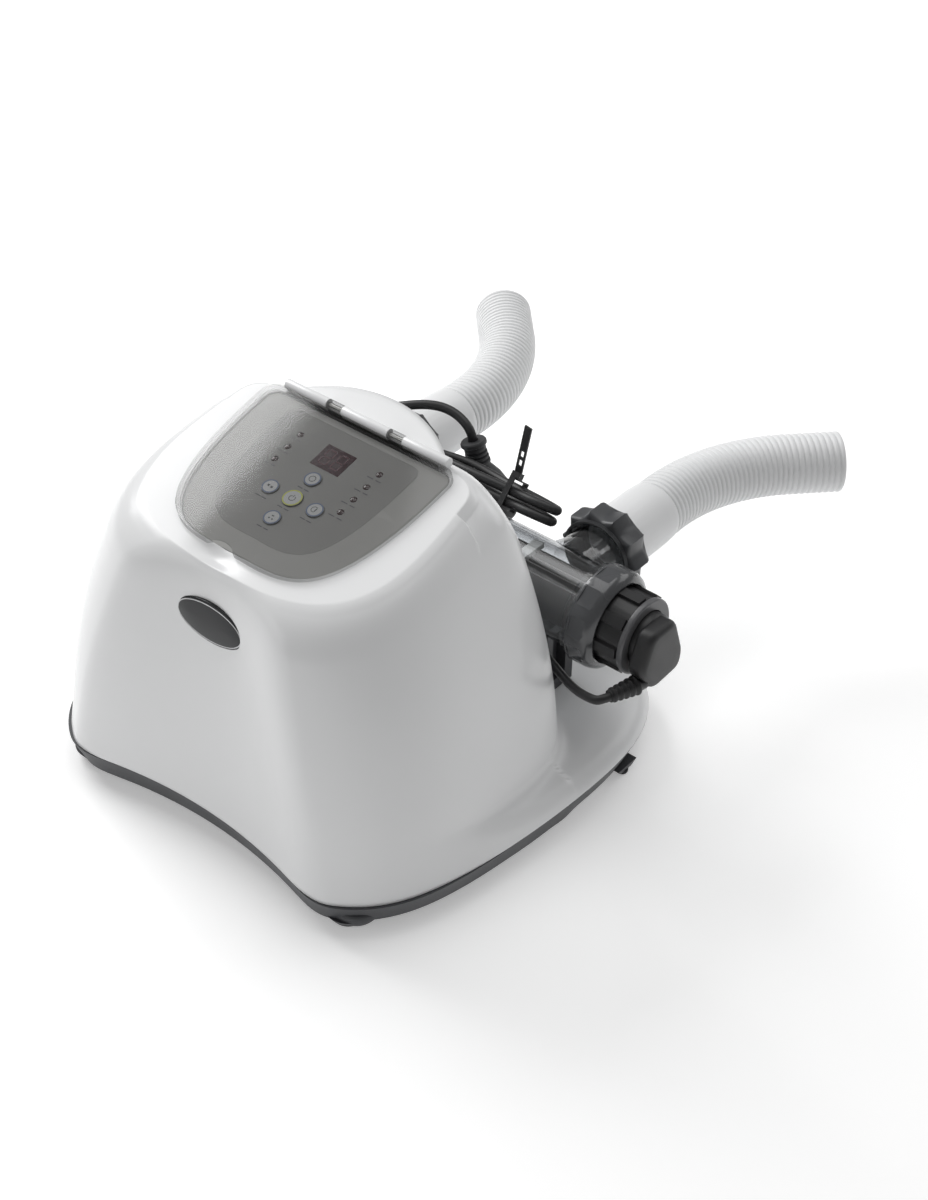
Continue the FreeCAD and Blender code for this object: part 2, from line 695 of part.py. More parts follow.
def transformer_core():
    core = box(-38, 38, -68, -22, FLOOR, FLOOR + 62)
    window = [box(x0, x0 + 14, -70, -20, FLOOR + 14, FLOOR + 48) for x0 in (-25, 11)]
    core = core.cut(Part.makeCompound(window))
    for x in (-33, 33):
        for z in (6, 56):
            core = core.cut(rod(2.1, (x, -75, FLOOR + z), (x, -15, FLOOR + z)))
    return core


def transformer_coil():
    outer = box(-24.5, 24.5, -80, -10, FLOOR + 14.5, FLOOR + 47.5)
    outer = outer.makeFillet(5.0, [e for e in outer.Edges if abs(e.tangentAt(e.FirstParameter).z) > 0.9])
    return outer.cut(box(-11.2, 11.2, -68.2, -21.8, 0, 120))


def transformer_bolts():
    bolts = []
    for x in (-33, 33):
        for z in (6, 56):
            shank = rod(2.0, (x, -71, FLOOR + z), (x, -18, FLOOR + z))
            head = rod(3.8, (x, -71.5, FLOOR + z), (x, -68, FLOOR + z))
            nut = rod(3.8, (x, -22, FLOOR + z), (x, -19, FLOOR + z))
            bolts.append(shank.fuse(head).fuse(nut).removeSplitter())
    return Part.makeCompound(bolts)


def power_board():
    board = box(-120, -58, -100, 20, 20.0, 21.6)
    posts = [rod(3, (x, y, 9.05), (x, y, 20.1)) for x in (-116, -62) for y in (-96, 16)]
    pieces = [board, box(-112, -96, -90, -60, 21.5, 44), box(-92, -66, -92, -78, 21.5, 33)]
    pieces += [rod(9, (-104, -38, 21.5), (-104, -38, 56)), rod(9, (-82, -50, 21.5), (-82, -50, 52))]
    pieces += [box(-112, -66, 6, 14, 21.5, 33)]
    return fused(pieces + posts)


def heat_sink():
    fins = [box(-112 + 6 * i, -110 + 6 * i, -20, 2, 23.9, 58) for i in range(9)]
    return fused([box(-112, -62, -20, 2, 21.65, 24)] + fins)


def internal_wiring():
    """Loom from the control board down to the power board, and from there to the cell gland."""
    upper = pipe([(-55, -10, 30), (-38, 5, 70), (0, 10, 120), (20, 0, 180), (34, -48, 205)], 3.0)
    lower = pipe([(-60, 24, 28), (-20, 30, 50), (40, 32, 80), (CELL_GLAND[0], 40, CELL_GLAND[1])], 3.0)
    return Part.makeCompound([upper, lower])


CABLE_ROOM = 0.4        # radial room round a cable in its bush or plug


def gland(place, r_hole, r_cable, length):
    """Rubber bush through the back wall."""
    x, z = place
    seat = gland_seat(x, z)
    bore = r_cable + CABLE_ROOM
    profile = [(0, bore), (0, r_hole + 2.5), (3.0, r_hole + 1.5), (length, r_cable + 2.2), (length, bore)]
    neck = tube(r_hole - 0.1, bore, (x, seat - 9, z), (x, seat, z))
    return turned(profile, (x, seat, z), (0, 1, 0)).fuse(neck).removeSplitter()


def gland_seat(x, z):
    """Where a bush's flange starts, just clear of the sloping back wall."""
    half, front, back, middle = bell_widths(z)
    flat = middle + (back - middle) * (1 - (abs(x) / half) ** BELL_POWER_BACK) ** (1 / BELL_POWER_BACK)
    return flat + 2.2


# ---------------------------------------------------------------- cell vessel
def bracket_xs():
    return [PORT_X[0] - 6.0, PORT_X[1] - 5.0]


def bracket_holes():
    """Places of the screws that hold the brackets."""
    return [(x, y) for x in bracket_xs() for y in (CELL_Y - 4.6, CELL_Y + 19.5)]


def shelf_height(x, y):
    """Height of the housing's skin over a place on the rear shelf."""
    low, high = SEAM_Z, 90.0
    while high - low > 0.01:
        middle = (low + high) / 2
        if housing_field(x, y, middle) < 0:
            low = middle
        else:
            high = middle
    return high


def vessel_body():
    """Clear vessel: round chamber, two ports to the rear, closed left end with a sensor boss."""
    x0, x1 = CELL_LEFT, CELL_RIGHT
    solid = [rod(CELL_R, (x0, CELL_Y, CELL_Z), (x1, CELL_Y, CELL_Z))]
    solid.append(rod(COLLAR_R - 3.0, (COLLAR_LEFT - 6.5, CELL_Y, CELL_Z), (COLLAR_LEFT - 1.0, CELL_Y, CELL_Z)))
    solid.append(rod(CELL_R + 1.6, (COLLAR_LEFT - 1.5, CELL_Y, CELL_Z), (x1, CELL_Y, CELL_Z)))
    solid.append(rod(16.0, (x0 - 16, CELL_Y, CELL_Z), (x0, CELL_Y, CELL_Z)))
    hollow = [rod(CELL_BORE, (x0 + 4, CELL_Y, CELL_Z), (x1 + 1, CELL_Y, CELL_Z))]
    hollow.append(rod(10.0, (x0 - 17, CELL_Y, CELL_Z), (x0 + 5, CELL_Y, CELL_Z)))
    for x in PORT_X:
        solid.append(rod(PORT_R, (x, CELL_Y, CELL_Z), (x, NUT_NEAR - 1, CELL_Z)))
        solid.append(cone(PORT_R + 4, PORT_R, (x, CELL_Y + 20, CELL_Z), (x, CELL_Y + 36, CELL_Z)))
        solid.append(rod(THREAD_R, (x, NUT_NEAR - 4, CELL_Z), (x, PORT_END, CELL_Z)))
        hollow.append(rod(PORT_BORE, (x, CELL_Y, CELL_Z), (x, PORT_END + 1, CELL_Z)))
    return fused(solid).cut(fused(hollow))


def vessel_brackets():
    """Two saddles that stand on the shelf and carry the vessel."""
    pieces = []
    front, rear, top = CELL_Y - 8.0, CELL_Y + 24.0, CELL_Z - 16.0
    for x in bracket_xs():
        x0, x1 = x - 10, x + 10
        foot = []
        for y in (front, CELL_Y - 4, CELL_Y, CELL_Y + 8, CELL_Y + 16, rear):
            foot.append(Vector(x0, y, max(shelf_height(xx, y) for xx in (x0, x, x1)) + 0.9))
        corners = foot + [Vector(x0, rear, top), Vector(x0, front, top), foot[0]]
        block = Part.Face(Part.makePolygon(corners)).extrude(Vector(x1 - x0, 0, 0))
        block = block.cut(rod(CELL_R + 0.1, (x0 - 1, CELL_Y, CELL_Z), (x1 + 1, CELL_Y, CELL_Z)))
        for port in PORT_X:
            block = block.cut(rod(PORT_R + 4.1, (port, CELL_Y, CELL_Z), (port, CELL_Y + 36, CELL_Z)))
        z_low, z_high = foot[0].z + 8, CELL_Z - CELL_R - 8
        block = block.cut(box(x0 - 1, x1 + 1, CELL_Y - 1, CELL_Y + 15, z_low, z_high))
        block = block.fuse(box(x - 1.5, x + 1.5, CELL_Y - 3, CELL_Y + 17, z_low - 4, z_high + 4))
        for xx, y in bracket_holes():
            block = block.cut(rod(1.6, (xx, y, SEAM_Z), (xx, y, foot[0].z + 12)))
        pieces.append(biggest(block.removeSplitter()))
    return Part.makeCompound(pieces)


def collar_nut():
    """Big retaining nut with ten finger flats and a domed front."""
    x0, x1 = COLLAR_LEFT, COLLAR_RIGHT
    dome = [(0, 0), (0, COLLAR_R), (x1 - x0 - 7, COLLAR_R), (x1 - x0 - 3.2, COLLAR_R - 1.4),
            (x1 - x0 - 1, COLLAR_R - 3.8), (x1 - x0, COLLAR_R - 5.6), (x1 - x0, 0)]
    nut = turned(dome, (x0, CELL_Y, CELL_Z), (1, 0, 0))
    bore = CELL_R + 1.6 + 0.2
    nut = nut.cut(rod(bore + 0.9, (x0 - 1, CELL_Y, CELL_Z), (x0 + 11.0, CELL_Y, CELL_Z)))
    nut = nut.cut(rod(COLLAR_OPENING, (x0, CELL_Y, CELL_Z), (x1 + 1, CELL_Y, CELL_Z)))
    for i in range(10):
        a = 2 * math.pi * (i + 0.5) / 10
        out = Vector(0, math.cos(a), math.sin(a))
        pad = Part.makeBox(12.0, 15.0, 3.0, Vector(-6.0, -7.5, 0))
        pad.Placement = Placement(Vector(x0 + 7.5, CELL_Y, CELL_Z) + out * (COLLAR_R - 0.75),
                                  Rotation(Vector(1, 0, 0), math.degrees(a) - 90))
        nut = nut.cut(pad)
    return nut


def cell_cap():
    """Ribbed cap of the electrode cell; its flange is held by the collar nut."""
    x0 = CELL_RIGHT + 0.3
    flange = rod(CELL_R + 1.2, (x0, CELL_Y, CELL_Z), (x0 + 4.0, CELL_Y, CELL_Z))
    body = rod(27.0, (x0, CELL_Y, CELL_Z), (188.0, CELL_Y, CELL_Z))
    plug = rod(CELL_BORE - 0.6, (CELL_RIGHT - 12, CELL_Y, CELL_Z), (x0 + 1, CELL_Y, CELL_Z))
    ribs = []
    for i in range(8):
        a = 2 * math.pi * i / 8
        rib = box(163, 187, -4.0, 4.0, 25.5, 29.2)
        rib.Placement = Placement(Vector(0, CELL_Y, CELL_Z), Rotation(Vector(1, 0, 0), math.degrees(a)))
        ribs.append(rib)
    cap = fused([flange, body, plug] + ribs)
    groove = tube(CELL_BORE + 1, CELL_BORE - 2.6, (CELL_RIGHT - 8, CELL_Y, CELL_Z), (CELL_RIGHT - 5, CELL_Y, CELL_Z))
    cap = cap.cut(groove).cut(rod(20.2, (176, CELL_Y, CELL_Z), (189, CELL_Y, CELL_Z)))
    for x, y, z in terminal_places():
        cap = cap.cut(rod(2.0, (140, y, z), (190, y, z)))
    for y in plate_places():
        cap = cap.cut(box(140, CELL_RIGHT - 8.5, y - 0.55, y + 0.55, CELL_Z - 19.5, CELL_Z + 19.5))
    return cap


def terminal_places():
    return [(0, CELL_Y + 8 * math.cos(a), CELL_Z + 8 * math.sin(a))
            for a in (math.pi / 2, math.pi * 7 / 6, math.pi * 11 / 6)]


def plate_places():
    return [CELL_Y + 6.0 * (i - 2) for i in range(5)]


def cell_end_ring():
    ring = tube(28.2, 20.2, (188.0, CELL_Y, CELL_Z), (192.0, CELL_Y, CELL_Z))
    edges = [e for e in ring.Edges if abs(e.BoundBox.XMax - 192.0) < 0.01 and e.BoundBox.YLength > 50]
    return ring.makeFillet(1.5, edges)


def electrode_plates():
    plates = []
    for y in plate_places():
        plate = box(-10, CELL_RIGHT - 8.6, y - 0.5, y + 0.5, CELL_Z - 19.4, CELL_Z + 19.4)
        if abs(y - CELL_Y) > 11:
            plate = plate.common(box(-10, 200, 0, 200, CELL_Z - 17, CELL_Z + 17))
        plates.append(plate)
    return Part.makeCompound(plates)


def plate_spacers():
    """Two combs that hold the plates apart."""
    combs = []
    for x in (2.0, 84.0):
        comb = box(x, x + 8, CELL_Y - 15, CELL_Y + 15, CELL_Z - 22, CELL_Z - 17.5)
        comb = comb.fuse(box(x, x + 8, CELL_Y - 15, CELL_Y + 15, CELL_Z + 17.5, CELL_Z + 22))
        comb = comb.fuse(box(x, x + 8, CELL_Y - 3.5, CELL_Y - 2.5, CELL_Z - 20, CELL_Z + 20)).removeSplitter()
        for y in plate_places():
            comb = comb.cut(box(x - 1, x + 9, y - 0.52, y + 0.52, CELL_Z - 19.42, CELL_Z + 19.42))
        combs.append(comb)
    return Part.makeCompound(combs)


def cell_terminals():
    pins = []
    for x, y, z in terminal_places():
        pins.append(rod(1.95, (CELL_RIGHT - 8, y, z), (186, y, z)))
    return Part.makeCompound(pins)


def ring_seal(x, r_mid, r_wire):
    seal = Part.makeTorus(r_mid, r_wire, Vector(x, CELL_Y, CELL_Z), Vector(1, 0, 0))
    return Part.Solid(seal.Shells[0]) if not seal.Solids else seal.Solids[0]


def cell_seal():
    return ring_seal(CELL_RIGHT - 6.5, CELL_BORE - 1.3, 1.25)


def flow_sensor_body():
    """Paddle switch screwed to the vessel's left end."""
    x = CELL_LEFT - 16
    pieces = [rod(9.6, (x - 3.0, CELL_Y, CELL_Z), (CELL_LEFT + 12, CELL_Y, CELL_Z))]
    pieces.append(rod(14.0, (x - 4.0, CELL_Y, CELL_Z), (x - 0.2, CELL_Y, CELL_Z)))
    pieces.append(rod(11.0, (x - 26, CELL_Y, CELL_Z), (x - 3, CELL_Y, CELL_Z)))
    pieces.append(box(CELL_LEFT + 11, CELL_LEFT + 15, CELL_Y - 1.5, CELL_Y + 1.5, CELL_Z - 20, CELL_Z + 4))
    pieces.append(rod(6.0, (x - 18, CELL_Y, CELL_Z), (x - 18, CELL_Y, CELL_Z - 22)))
    body = fused(pieces)
    return body.cut(rod(2.3 + CABLE_ROOM, (x - 18, CELL_Y, CELL_Z - 12), (x - 18, CELL_Y, CELL_Z - 23)))


def flow_sensor_nut():
    x = CELL_LEFT - 16
    nut = turned([(0, 0), (0, 21), (12, 21), (15, 18.5), (15, 0)], (x + 9, CELL_Y, CELL_Z), (-1, 0, 0))
    nut = nut.cut(rod(16.2, (x + 10, CELL_Y, CELL_Z), (x - 4.2, CELL_Y, CELL_Z)))
    nut = nut.cut(rod(11.2, (x, CELL_Y, CELL_Z), (x - 12, CELL_Y, CELL_Z)))
    for i in range(8):
        a = 2 * math.pi * i / 8
        y, z = CELL_Y + 23.5 * math.cos(a), CELL_Z + 23.5 * math.sin(a)
        nut = nut.cut(rod(4.0, (x + 10, y, z), (x - 10, y, z)))
    return nut


# ---------------------------------------------------------------- unions and hoses
def lobed_outline(x, y):
    """Ten soft lobes round the union nut, in the plane across its axis."""
    points = []
    steps = NUT_LOBES * 8
    for i in range(steps):
        a = 2 * math.pi * i / steps
        r = NUT_R - LOBE_DEPTH * (1 - ((1 + math.cos(NUT_LOBES * a)) / 2) ** 1.5)
        points.append(Vector(x + r * math.cos(a), y, CELL_Z + r * math.sin(a)))
    return points


def union_nut():
    x = 0.0
    nut = loft([lobed_outline(x, NUT_NEAR), lobed_outline(x, NUT_FAR)])
    crown = turned([(-1, 0), (-1, NUT_R - 2.0), (2.0, NUT_R + 1), (16.0, NUT_R + 1), (21.5, NUT_R - 3.4), (22, 0)],
                   (x, NUT_NEAR, CELL_Z), (0, 1, 0))
    nut = nut.common(crown)
    nut = nut.cut(rod(THREAD_R + 0.2, (x, NUT_NEAR - 1, CELL_Z), (x, PORT_END + 3.9, CELL_Z)))
    return nut.cut(rod(CUFF_R + 0.3, (x, NUT_NEAR, CELL_Z), (x, NUT_FAR + 1, CELL_Z)))


def port_seals():
    seals = [tube(THREAD_R - 0.4, PORT_BORE + 0.5, (x, PORT_END + 0.05, CELL_Z), (x, PORT_END + 1.2, CELL_Z))
             for x in PORT_X]
    return Part.makeCompound(seals)


def hose_cuff(x):
    """Smooth flanged cuff at the end of a hose."""
    y0 = PORT_END + 1.25
    profile = [(0, PORT_BORE), (0, THREAD_R - 0.3), (2.4, THREAD_R - 0.3), (2.4, CUFF_R), (40.0, CUFF_R), (50.0, 23.6),
               (52.0, HOSE_R - 0.2), (52.0, PORT_BORE)]
    return turned(profile, (x, y0, CELL_Z), (0, 1, 0))


def hose_spine(side):
    """Middle line of a hose: straight out of the cuff, one bend outwards and a straight end."""
    x0, y0 = PORT_X[side > 0], PORT_END + 53.3
    turn = math.radians(HOSE_TURN)

    def bend(angle):
        return Vector(x0 + side * HOSE_BEND * (1 - math.cos(angle)), y0 + HOSE_LEAD + HOSE_BEND * math.sin(angle),
                      CELL_Z)
    first, middle, last = bend(0), bend(turn / 2), bend(turn)
    end = last + Vector(side * math.sin(turn), math.cos(turn), 0) * HOSE_TAIL
    lead = Part.LineSegment(Vector(x0, y0, CELL_Z), first)
    return Part.Wire([e.toShape() for e in (lead, Part.Arc(first, middle, last), Part.LineSegment(last, end))])


def hose(side):
    """Pool hose; its free end is a straight socket."""
    spine = hose_spine(side)
    start = spine.Vertexes[0].Point
    solids = []
    for r in (HOSE_R, HOSE_BORE):
        ring = Part.Wire([Part.makeCircle(r, start, Vector(0, 1, 0))])
        solids.append(spine.makePipeShell([ring], True, False))
    return solids[0].cut(solids[1])


# ---------------------------------------------------------------- cables
PLUG_OUT = 210.0


def cell_plug():
    """Right-angle connector: round nose in the cap, angular head and a ribbed strain relief."""
    nose = rod(19.8, (186.6, CELL_Y, CELL_Z), (199, CELL_Y, CELL_Z))
    corners = [(-17.5, 19.0), (9.6, 19.0), (21.6, -14.0), (19.4, -28.0), (-12.1, -30.0), (-28.0, -8.0)]
    wire = Part.makePolygon([Vector(197, CELL_Y + y, CELL_Z + z) for y, z in corners + corners[:1]])
    head = Part.Face(wire).extrude(Vector(PLUG_OUT - 197, 0, 0))
    head = head.makeFillet(3.0, [e for e in head.Edges if e.BoundBox.XLength > 10])
    pieces = [nose, head]
    start, step = relief_line()
    for i in range(5):
        a = start + step * (4.6 * i + 2)
        b = start + step * (4.6 * i + 4.6)
        pieces.append(rod(7.2 - 0.45 * i, tuple(a), tuple(b)))
    pieces.append(rod(4.9, tuple(start - step * 6), tuple(start + step * 24)))
    plug = fused(pieces).cut(rod(CABLE_R + CABLE_ROOM, tuple(start - step * 2), tuple(start + step * 30)))
    for x, y, z in terminal_places():
        plug = plug.cut(rod(2.05, (180, y, z), (188, y, z)))
    return plug


def relief_line():
    """Start and direction of the strain relief."""
    start = Vector(203.0, CELL_Y - 20.0, CELL_Z - 22.0)
    step = Vector(-0.29, -0.95, 0.0)
    step.normalize()
    return start, step


def into_gland(place):
    """Straight last stretch of a cable, through its bush to the inside."""
    x, z = place
    seat = gland_seat(x, z)
    return [(x, seat + off, z) for off in (8, 4, 0, -4, -8, -12)]


def cell_cable():
    start, step = relief_line()
    points = [tuple(start + step * off) for off in (0, 7, 14, 21, 28)]
    points.append(tuple(start + step * 36 + Vector(-5, 4, -3)))
    z = CELL_GLAND[1]
    points += [(164, 37, z + 3), (136, 50, z), (118, 58.5, z), (104, 62.2, z), (92, 67.5, z), (82, 74, z),
               (74.5, 72.5, z)]
    return pipe(points + into_gland(CELL_GLAND), CABLE_R)


def sensor_cable():
    x = CELL_LEFT - 34
    gx, gz = SENSOR_GLAND
    points = [(x, CELL_Y, CELL_Z - off) for off in (13, 16, 19, 22, 25)]
    points += [(x + 3, CELL_Y - 1, CELL_Z - 34), (x + 12, CELL_Y - 2, gz + 1), (x + 26, CELL_Y - 3, gz),
               (gx - 5, CELL_Y - 6, gz)]
    return pipe(points + into_gland(SENSOR_GLAND), 2.3)


TIE_X, TIE_RADIAL = 50.0, 45.9       # place of the cable tie along and out from the vessel


def cord_points():
    """Power cord: out of its gland, coiled on the vessel, over the left nut and down to the plug."""
    gx, gz = CORD_GLAND
    points = into_gland(CORD_GLAND)[::-1]
    seat = gland_seat(gx, gz)
    points += [(gx, seat + 12, gz), (gx + 1, seat + 18, gz), (gx + 8, seat + 34, gz - 1), (gx + 20, seat + 50, gz - 8)]
    turns, per_turn = 2, 12
    for i in range(turns * per_turn - 1):
        a = math.pi * (1 + 2.0 * i / per_turn)
        radial = CELL_R + 6.5 + 8.4 * i / per_turn
        along = 30 + 58 * math.cos(a)
        across = 11.0 * math.sin(a) * (1 - 0.55 * math.exp(-((along - TIE_X) / 18.0) ** 2))
        lean = math.radians(48)
        y = CELL_Y + radial * math.cos(lean) + across * math.sin(lean)
        z = CELL_Z + radial * math.sin(lean) - across * math.cos(lean)
        points.append((along, y, z))
    return points


def cord_arc():
    """Last stretch of the power cord: a loop over the left nut and straight into the plug."""
    loop = [(-32, 110, 173), (-55, 105, 173), (-76, 103, 175), (-87, 108.5, 177.5), (-86, 117.5, 181),
            (-76, 123.5, 184.5), (-64.5, 129.5, 188), (-43, 140, 190.5), (-25, 142, 186.5)]
    into = Vector(PLUG_DIR).normalize()
    return loop + [tuple(PLUG_START + into * off) for off in (-5, -1, 3, 7, 11, 15)]


def power_cord():
    return cord(cord_points() + cord_arc(), CORD_R, 3.0)


PLUG_START = Vector(-13.4, 141.0, 174.0)
PLUG_DIR = Vector(0.30, 0.03, -0.95)


def power_plug():
    """Moulded mains plug: flange, ribbed neck and a flared body."""
    d = Vector(PLUG_DIR)
    d.normalize()
    profile = [(0, CORD_R + CABLE_ROOM), (0, 9.0), (1.2, 9.8), (3.4, 9.8), (4.6, 8.0)]
    for i in range(4):
        s = 6.0 + 3.6 * i
        profile += [(s, 8.2 + 0.3 * i), (s + 1.8, 8.2 + 0.3 * i), (s + 2.0, 7.0 + 0.35 * i), (s + 3.2, 7.0 + 0.35 * i)]
    profile += [(22, 9.2), (30, 14.5), (40, 18.6), (46, 19.4), (62, 19.4), (64, 18.0), (64, 0), (16, 0),
                (16, CORD_R + CABLE_ROOM)]
    body = turned(profile, tuple(PLUG_START), tuple(d))
    return body


def plug_pins():
    d = Vector(PLUG_DIR)
    d.normalize()
    side = d.cross(Vector(0, 1, 0))
    side.normalize()
    pins = []
    for s in (-1, 1):
        foot = PLUG_START + d * 64.05 + side * (9.5 * s)
        pins.append(rod(2.4, tuple(foot), tuple(foot + d * 19)))
    return Part.makeCompound(pins)


def cable_tie():
    """Strap round the coiled cord, with its tail standing up."""
    lean = math.radians(48)
    out = Vector(0, math.cos(lean), math.sin(lean))
    across = Vector(0, math.sin(lean), -math.cos(lean))
    middle = Vector(TIE_X, CELL_Y, CELL_Z) + out * TIE_RADIAL
    frame = FreeCAD.Matrix(1, 0, 0, middle.x, 0, out.y, across.y, middle.y, 0, out.z, across.z, middle.z, 0, 0, 0, 1)
    strap = box(-2.2, 2.2, -12.2, 12.2, -11.4, 11.4).cut(box(-3, 3, -11.0, 11.0, -10.2, 10.2))
    head = box(-3.6, 3.6, 11.2, 16.6, -9.0, -3.0)
    strap = strap.fuse(head).removeSplitter()
    strap.transformShape(frame)
    tail = box(-3.0, 3.0, -0.7, 0.7, 0, 44)
    tail = tail.cut(box(-1.4, 1.4, -2, 2, 8, 14)).cut(box(-1.4, 1.4, -2, 2, 16, 22))
    tail.Placement = Placement(middle + out * 15.2 - across * 6.0, Rotation(Vector(0, 1, 0), 10))
    return strap.fuse(tail).removeSplitter()


# ---------------------------------------------------------------- all nodes
def build():
    nodes = {
        "housing_shell": housing_shell(),
        "hinge_bar": hinge_bar(),
        "base_tray": base_tray(),
        "rubber_feet": rubber_feet(),
        "housing_screws": housing_screws(),
        "badge": badge(),
        "panel_fascia": panel_fascia(),
        "panel_overlay": panel_overlay(),
        "display_window": display_window(),
        "display_module": display_module(),
        "led_lenses": led_lenses(),
        "control_board": control_board(),
        "board_screws": board_screws(),
        "panel_cover": panel_cover(),
        "cover_hinge_pin": cover_hinge_pin(),
        "transformer_core": transformer_core(),
        "transformer_coil": transformer_coil(),
        "transformer_bolts": transformer_bolts(),
        "power_board": power_board(),
        "heat_sink": heat_sink(),
        "internal_wiring": internal_wiring(),
        "power_cord_gland": gland(CORD_GLAND, 8.0, CORD_R, 12.0),
        "cell_cable_gland": gland(CELL_GLAND, 6.0, CABLE_R, 7.0),
        "sensor_cable_gland": gland(SENSOR_GLAND, 6.0, 2.3, 7.0),
        "vessel_body": vessel_body(),
        "vessel_brackets": vessel_brackets(),
        "collar_nut": collar_nut(),
        "cell_cap": cell_cap(),
        "cell_end_ring": cell_end_ring(),
        "electrode_plates": electrode_plates(),
        "plate_spacers": plate_spacers(),
        "cell_terminals": cell_terminals(),
        "cell_seal": cell_seal(),
        "flow_sensor_body": flow_sensor_body(),
        "flow_sensor_nut": flow_sensor_nut(),
        "port_seals": port_seals(),
        "union_nut_left": moved(union_nut(), PORT_X[0]),
        "union_nut_right": moved(union_nut(), PORT_X[1]),
        "hose_cuff_left": hose_cuff(PORT_X[0]),
        "hose_cuff_right": hose_cuff(PORT_X[1]),
        "hose_left": hose(-1),
        "hose_right": hose(1),
        "cell_plug": cell_plug(),
        "cell_cable": cell_cable(),
        "sensor_cable": sensor_cable(),
        "power_cord": power_cord(),
        "power_plug": power_plug(),
        "plug_pins": plug_pins(),
        "cable_tie": cable_tie(),
    }
    for name in BUTTONS:
        nodes[name] = button(name)
    return nodes


os.makedirs("parts", exist_ok=True)
for node, shape in build().items():
    shape.exportStep("parts/%s.step" % node)
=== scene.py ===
import json
import math
import bpy
import numpy as np
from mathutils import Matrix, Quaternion, Vector


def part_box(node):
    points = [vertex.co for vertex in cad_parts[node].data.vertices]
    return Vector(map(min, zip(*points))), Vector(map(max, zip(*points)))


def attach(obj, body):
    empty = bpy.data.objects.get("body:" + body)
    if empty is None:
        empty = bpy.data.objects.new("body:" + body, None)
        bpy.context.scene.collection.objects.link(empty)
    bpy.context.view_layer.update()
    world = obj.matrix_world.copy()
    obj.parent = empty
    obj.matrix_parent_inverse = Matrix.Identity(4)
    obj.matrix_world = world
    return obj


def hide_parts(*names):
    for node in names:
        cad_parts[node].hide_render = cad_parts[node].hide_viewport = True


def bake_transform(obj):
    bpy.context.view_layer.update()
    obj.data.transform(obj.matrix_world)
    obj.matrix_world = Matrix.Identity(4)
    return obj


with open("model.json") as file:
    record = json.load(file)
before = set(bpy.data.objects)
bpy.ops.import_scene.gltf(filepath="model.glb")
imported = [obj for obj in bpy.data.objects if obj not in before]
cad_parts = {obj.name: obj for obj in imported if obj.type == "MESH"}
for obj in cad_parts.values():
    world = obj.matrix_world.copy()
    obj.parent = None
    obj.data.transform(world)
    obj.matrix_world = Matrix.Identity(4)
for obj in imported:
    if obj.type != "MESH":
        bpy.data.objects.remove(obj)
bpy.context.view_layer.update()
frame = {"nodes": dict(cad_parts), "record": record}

# Looks of a salt chlorine generator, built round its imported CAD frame.
# Lengths in the shape functions are millimetres in the row's frame and become metres in each mesh.

MM = 0.001
scene = bpy.context.scene

# ---------------------------------------------------------------- driving dimensions, as in the CAD
WALL, GAP = 3.0, 0.4
SEAM_Z = 25.0
BASE_Y, BASE_FRONT, BASE_REAR = 20.0, 205.0, 160.0
BASE_HALF, BASE_FLARE, BASE_POWER = 180.0, 7.0, 3.2
BELL_FOOT, BELL_RISE = 28.0, 232.0
BELL_HALF = (164.0, 18.0, -73.0)
BELL_FRONT = (-184.0, 25.5, 19.5)
BELL_BACK = (67.0, -37.0)
BELL_MIDDLE = (-66.0, 54.0)
BELL_POWER_FRONT, BELL_POWER_BACK = 3.04, 4.8
BELL_ROUND, ROUND_BLEND = 19.5, 1.17
BACK_SLANT = (17.0, 258.1, 1.1)
SLOPE, PANEL_Y, PANEL_Z, TOP_RISE = math.radians(13.8), -61.5, 237.5, 1.3
CELL_Y, CELL_Z, CELL_R, CABLE_R = 77.6, 137.7, 31.0, 3.2
PORT_X = (-79.3, 111.0)
HOSE_START, HOSE_R, HOSE_BORE = 199.3, 23.0, 19.0
HOSE_LEAD, HOSE_BEND, HOSE_TURN, HOSE_TAIL = 12.0, 150.0, math.radians(43.2), 40.0
FRAME_OUTLINE = (80.6, 70.0, 58.0, -56.5, 9.0)
BUTTON_ARM = 20.0
TAN, COS, SIN = math.tan(SLOPE), math.cos(SLOPE), math.sin(SLOPE)
HUB = (0.0, -10.0, 8.0)
AROUND = 432


# ---------------------------------------------------------------- meshes
def new_piece(name, vertices, faces, body, material, smooth=True):
    """Mesh in millimetres as a piece that rides on a body, or on none yet."""
    mesh = bpy.data.meshes.new(name)
    mesh.from_pydata([tuple(v) for v in np.asarray(vertices, float) * MM], [], faces)
    mesh.validate()
    if smooth:
        mesh.shade_smooth()
    piece = bpy.data.objects.new(name, mesh)
    scene.collection.objects.link(piece)
    piece.data.materials.append(material)
    if body:
        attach(piece, body)
    return piece


def grid_faces(rows, columns, wrap_rows=False):
    """Quads over closed rows of points, row after row."""
    faces = []
    for r in range(rows if wrap_rows else rows - 1):
        below, above = r * columns, ((r + 1) % rows) * columns
        for c in range(columns):
            d = (c + 1) % columns
            faces.append((below + c, below + d, above + d, above + c))
    return faces


def lofted(name, rows, body, material, wrap_rows=False, ends=False):
    rows = np.asarray(rows)
    count, columns = rows.shape[0], rows.shape[1]
    faces = grid_faces(count, columns, wrap_rows)
    if ends:
        faces.append(tuple(reversed(range(columns))))
        faces.append(tuple((count - 1) * columns + c for c in range(columns)))
    return new_piece(name, rows.reshape(-1, 3), faces, body, material)


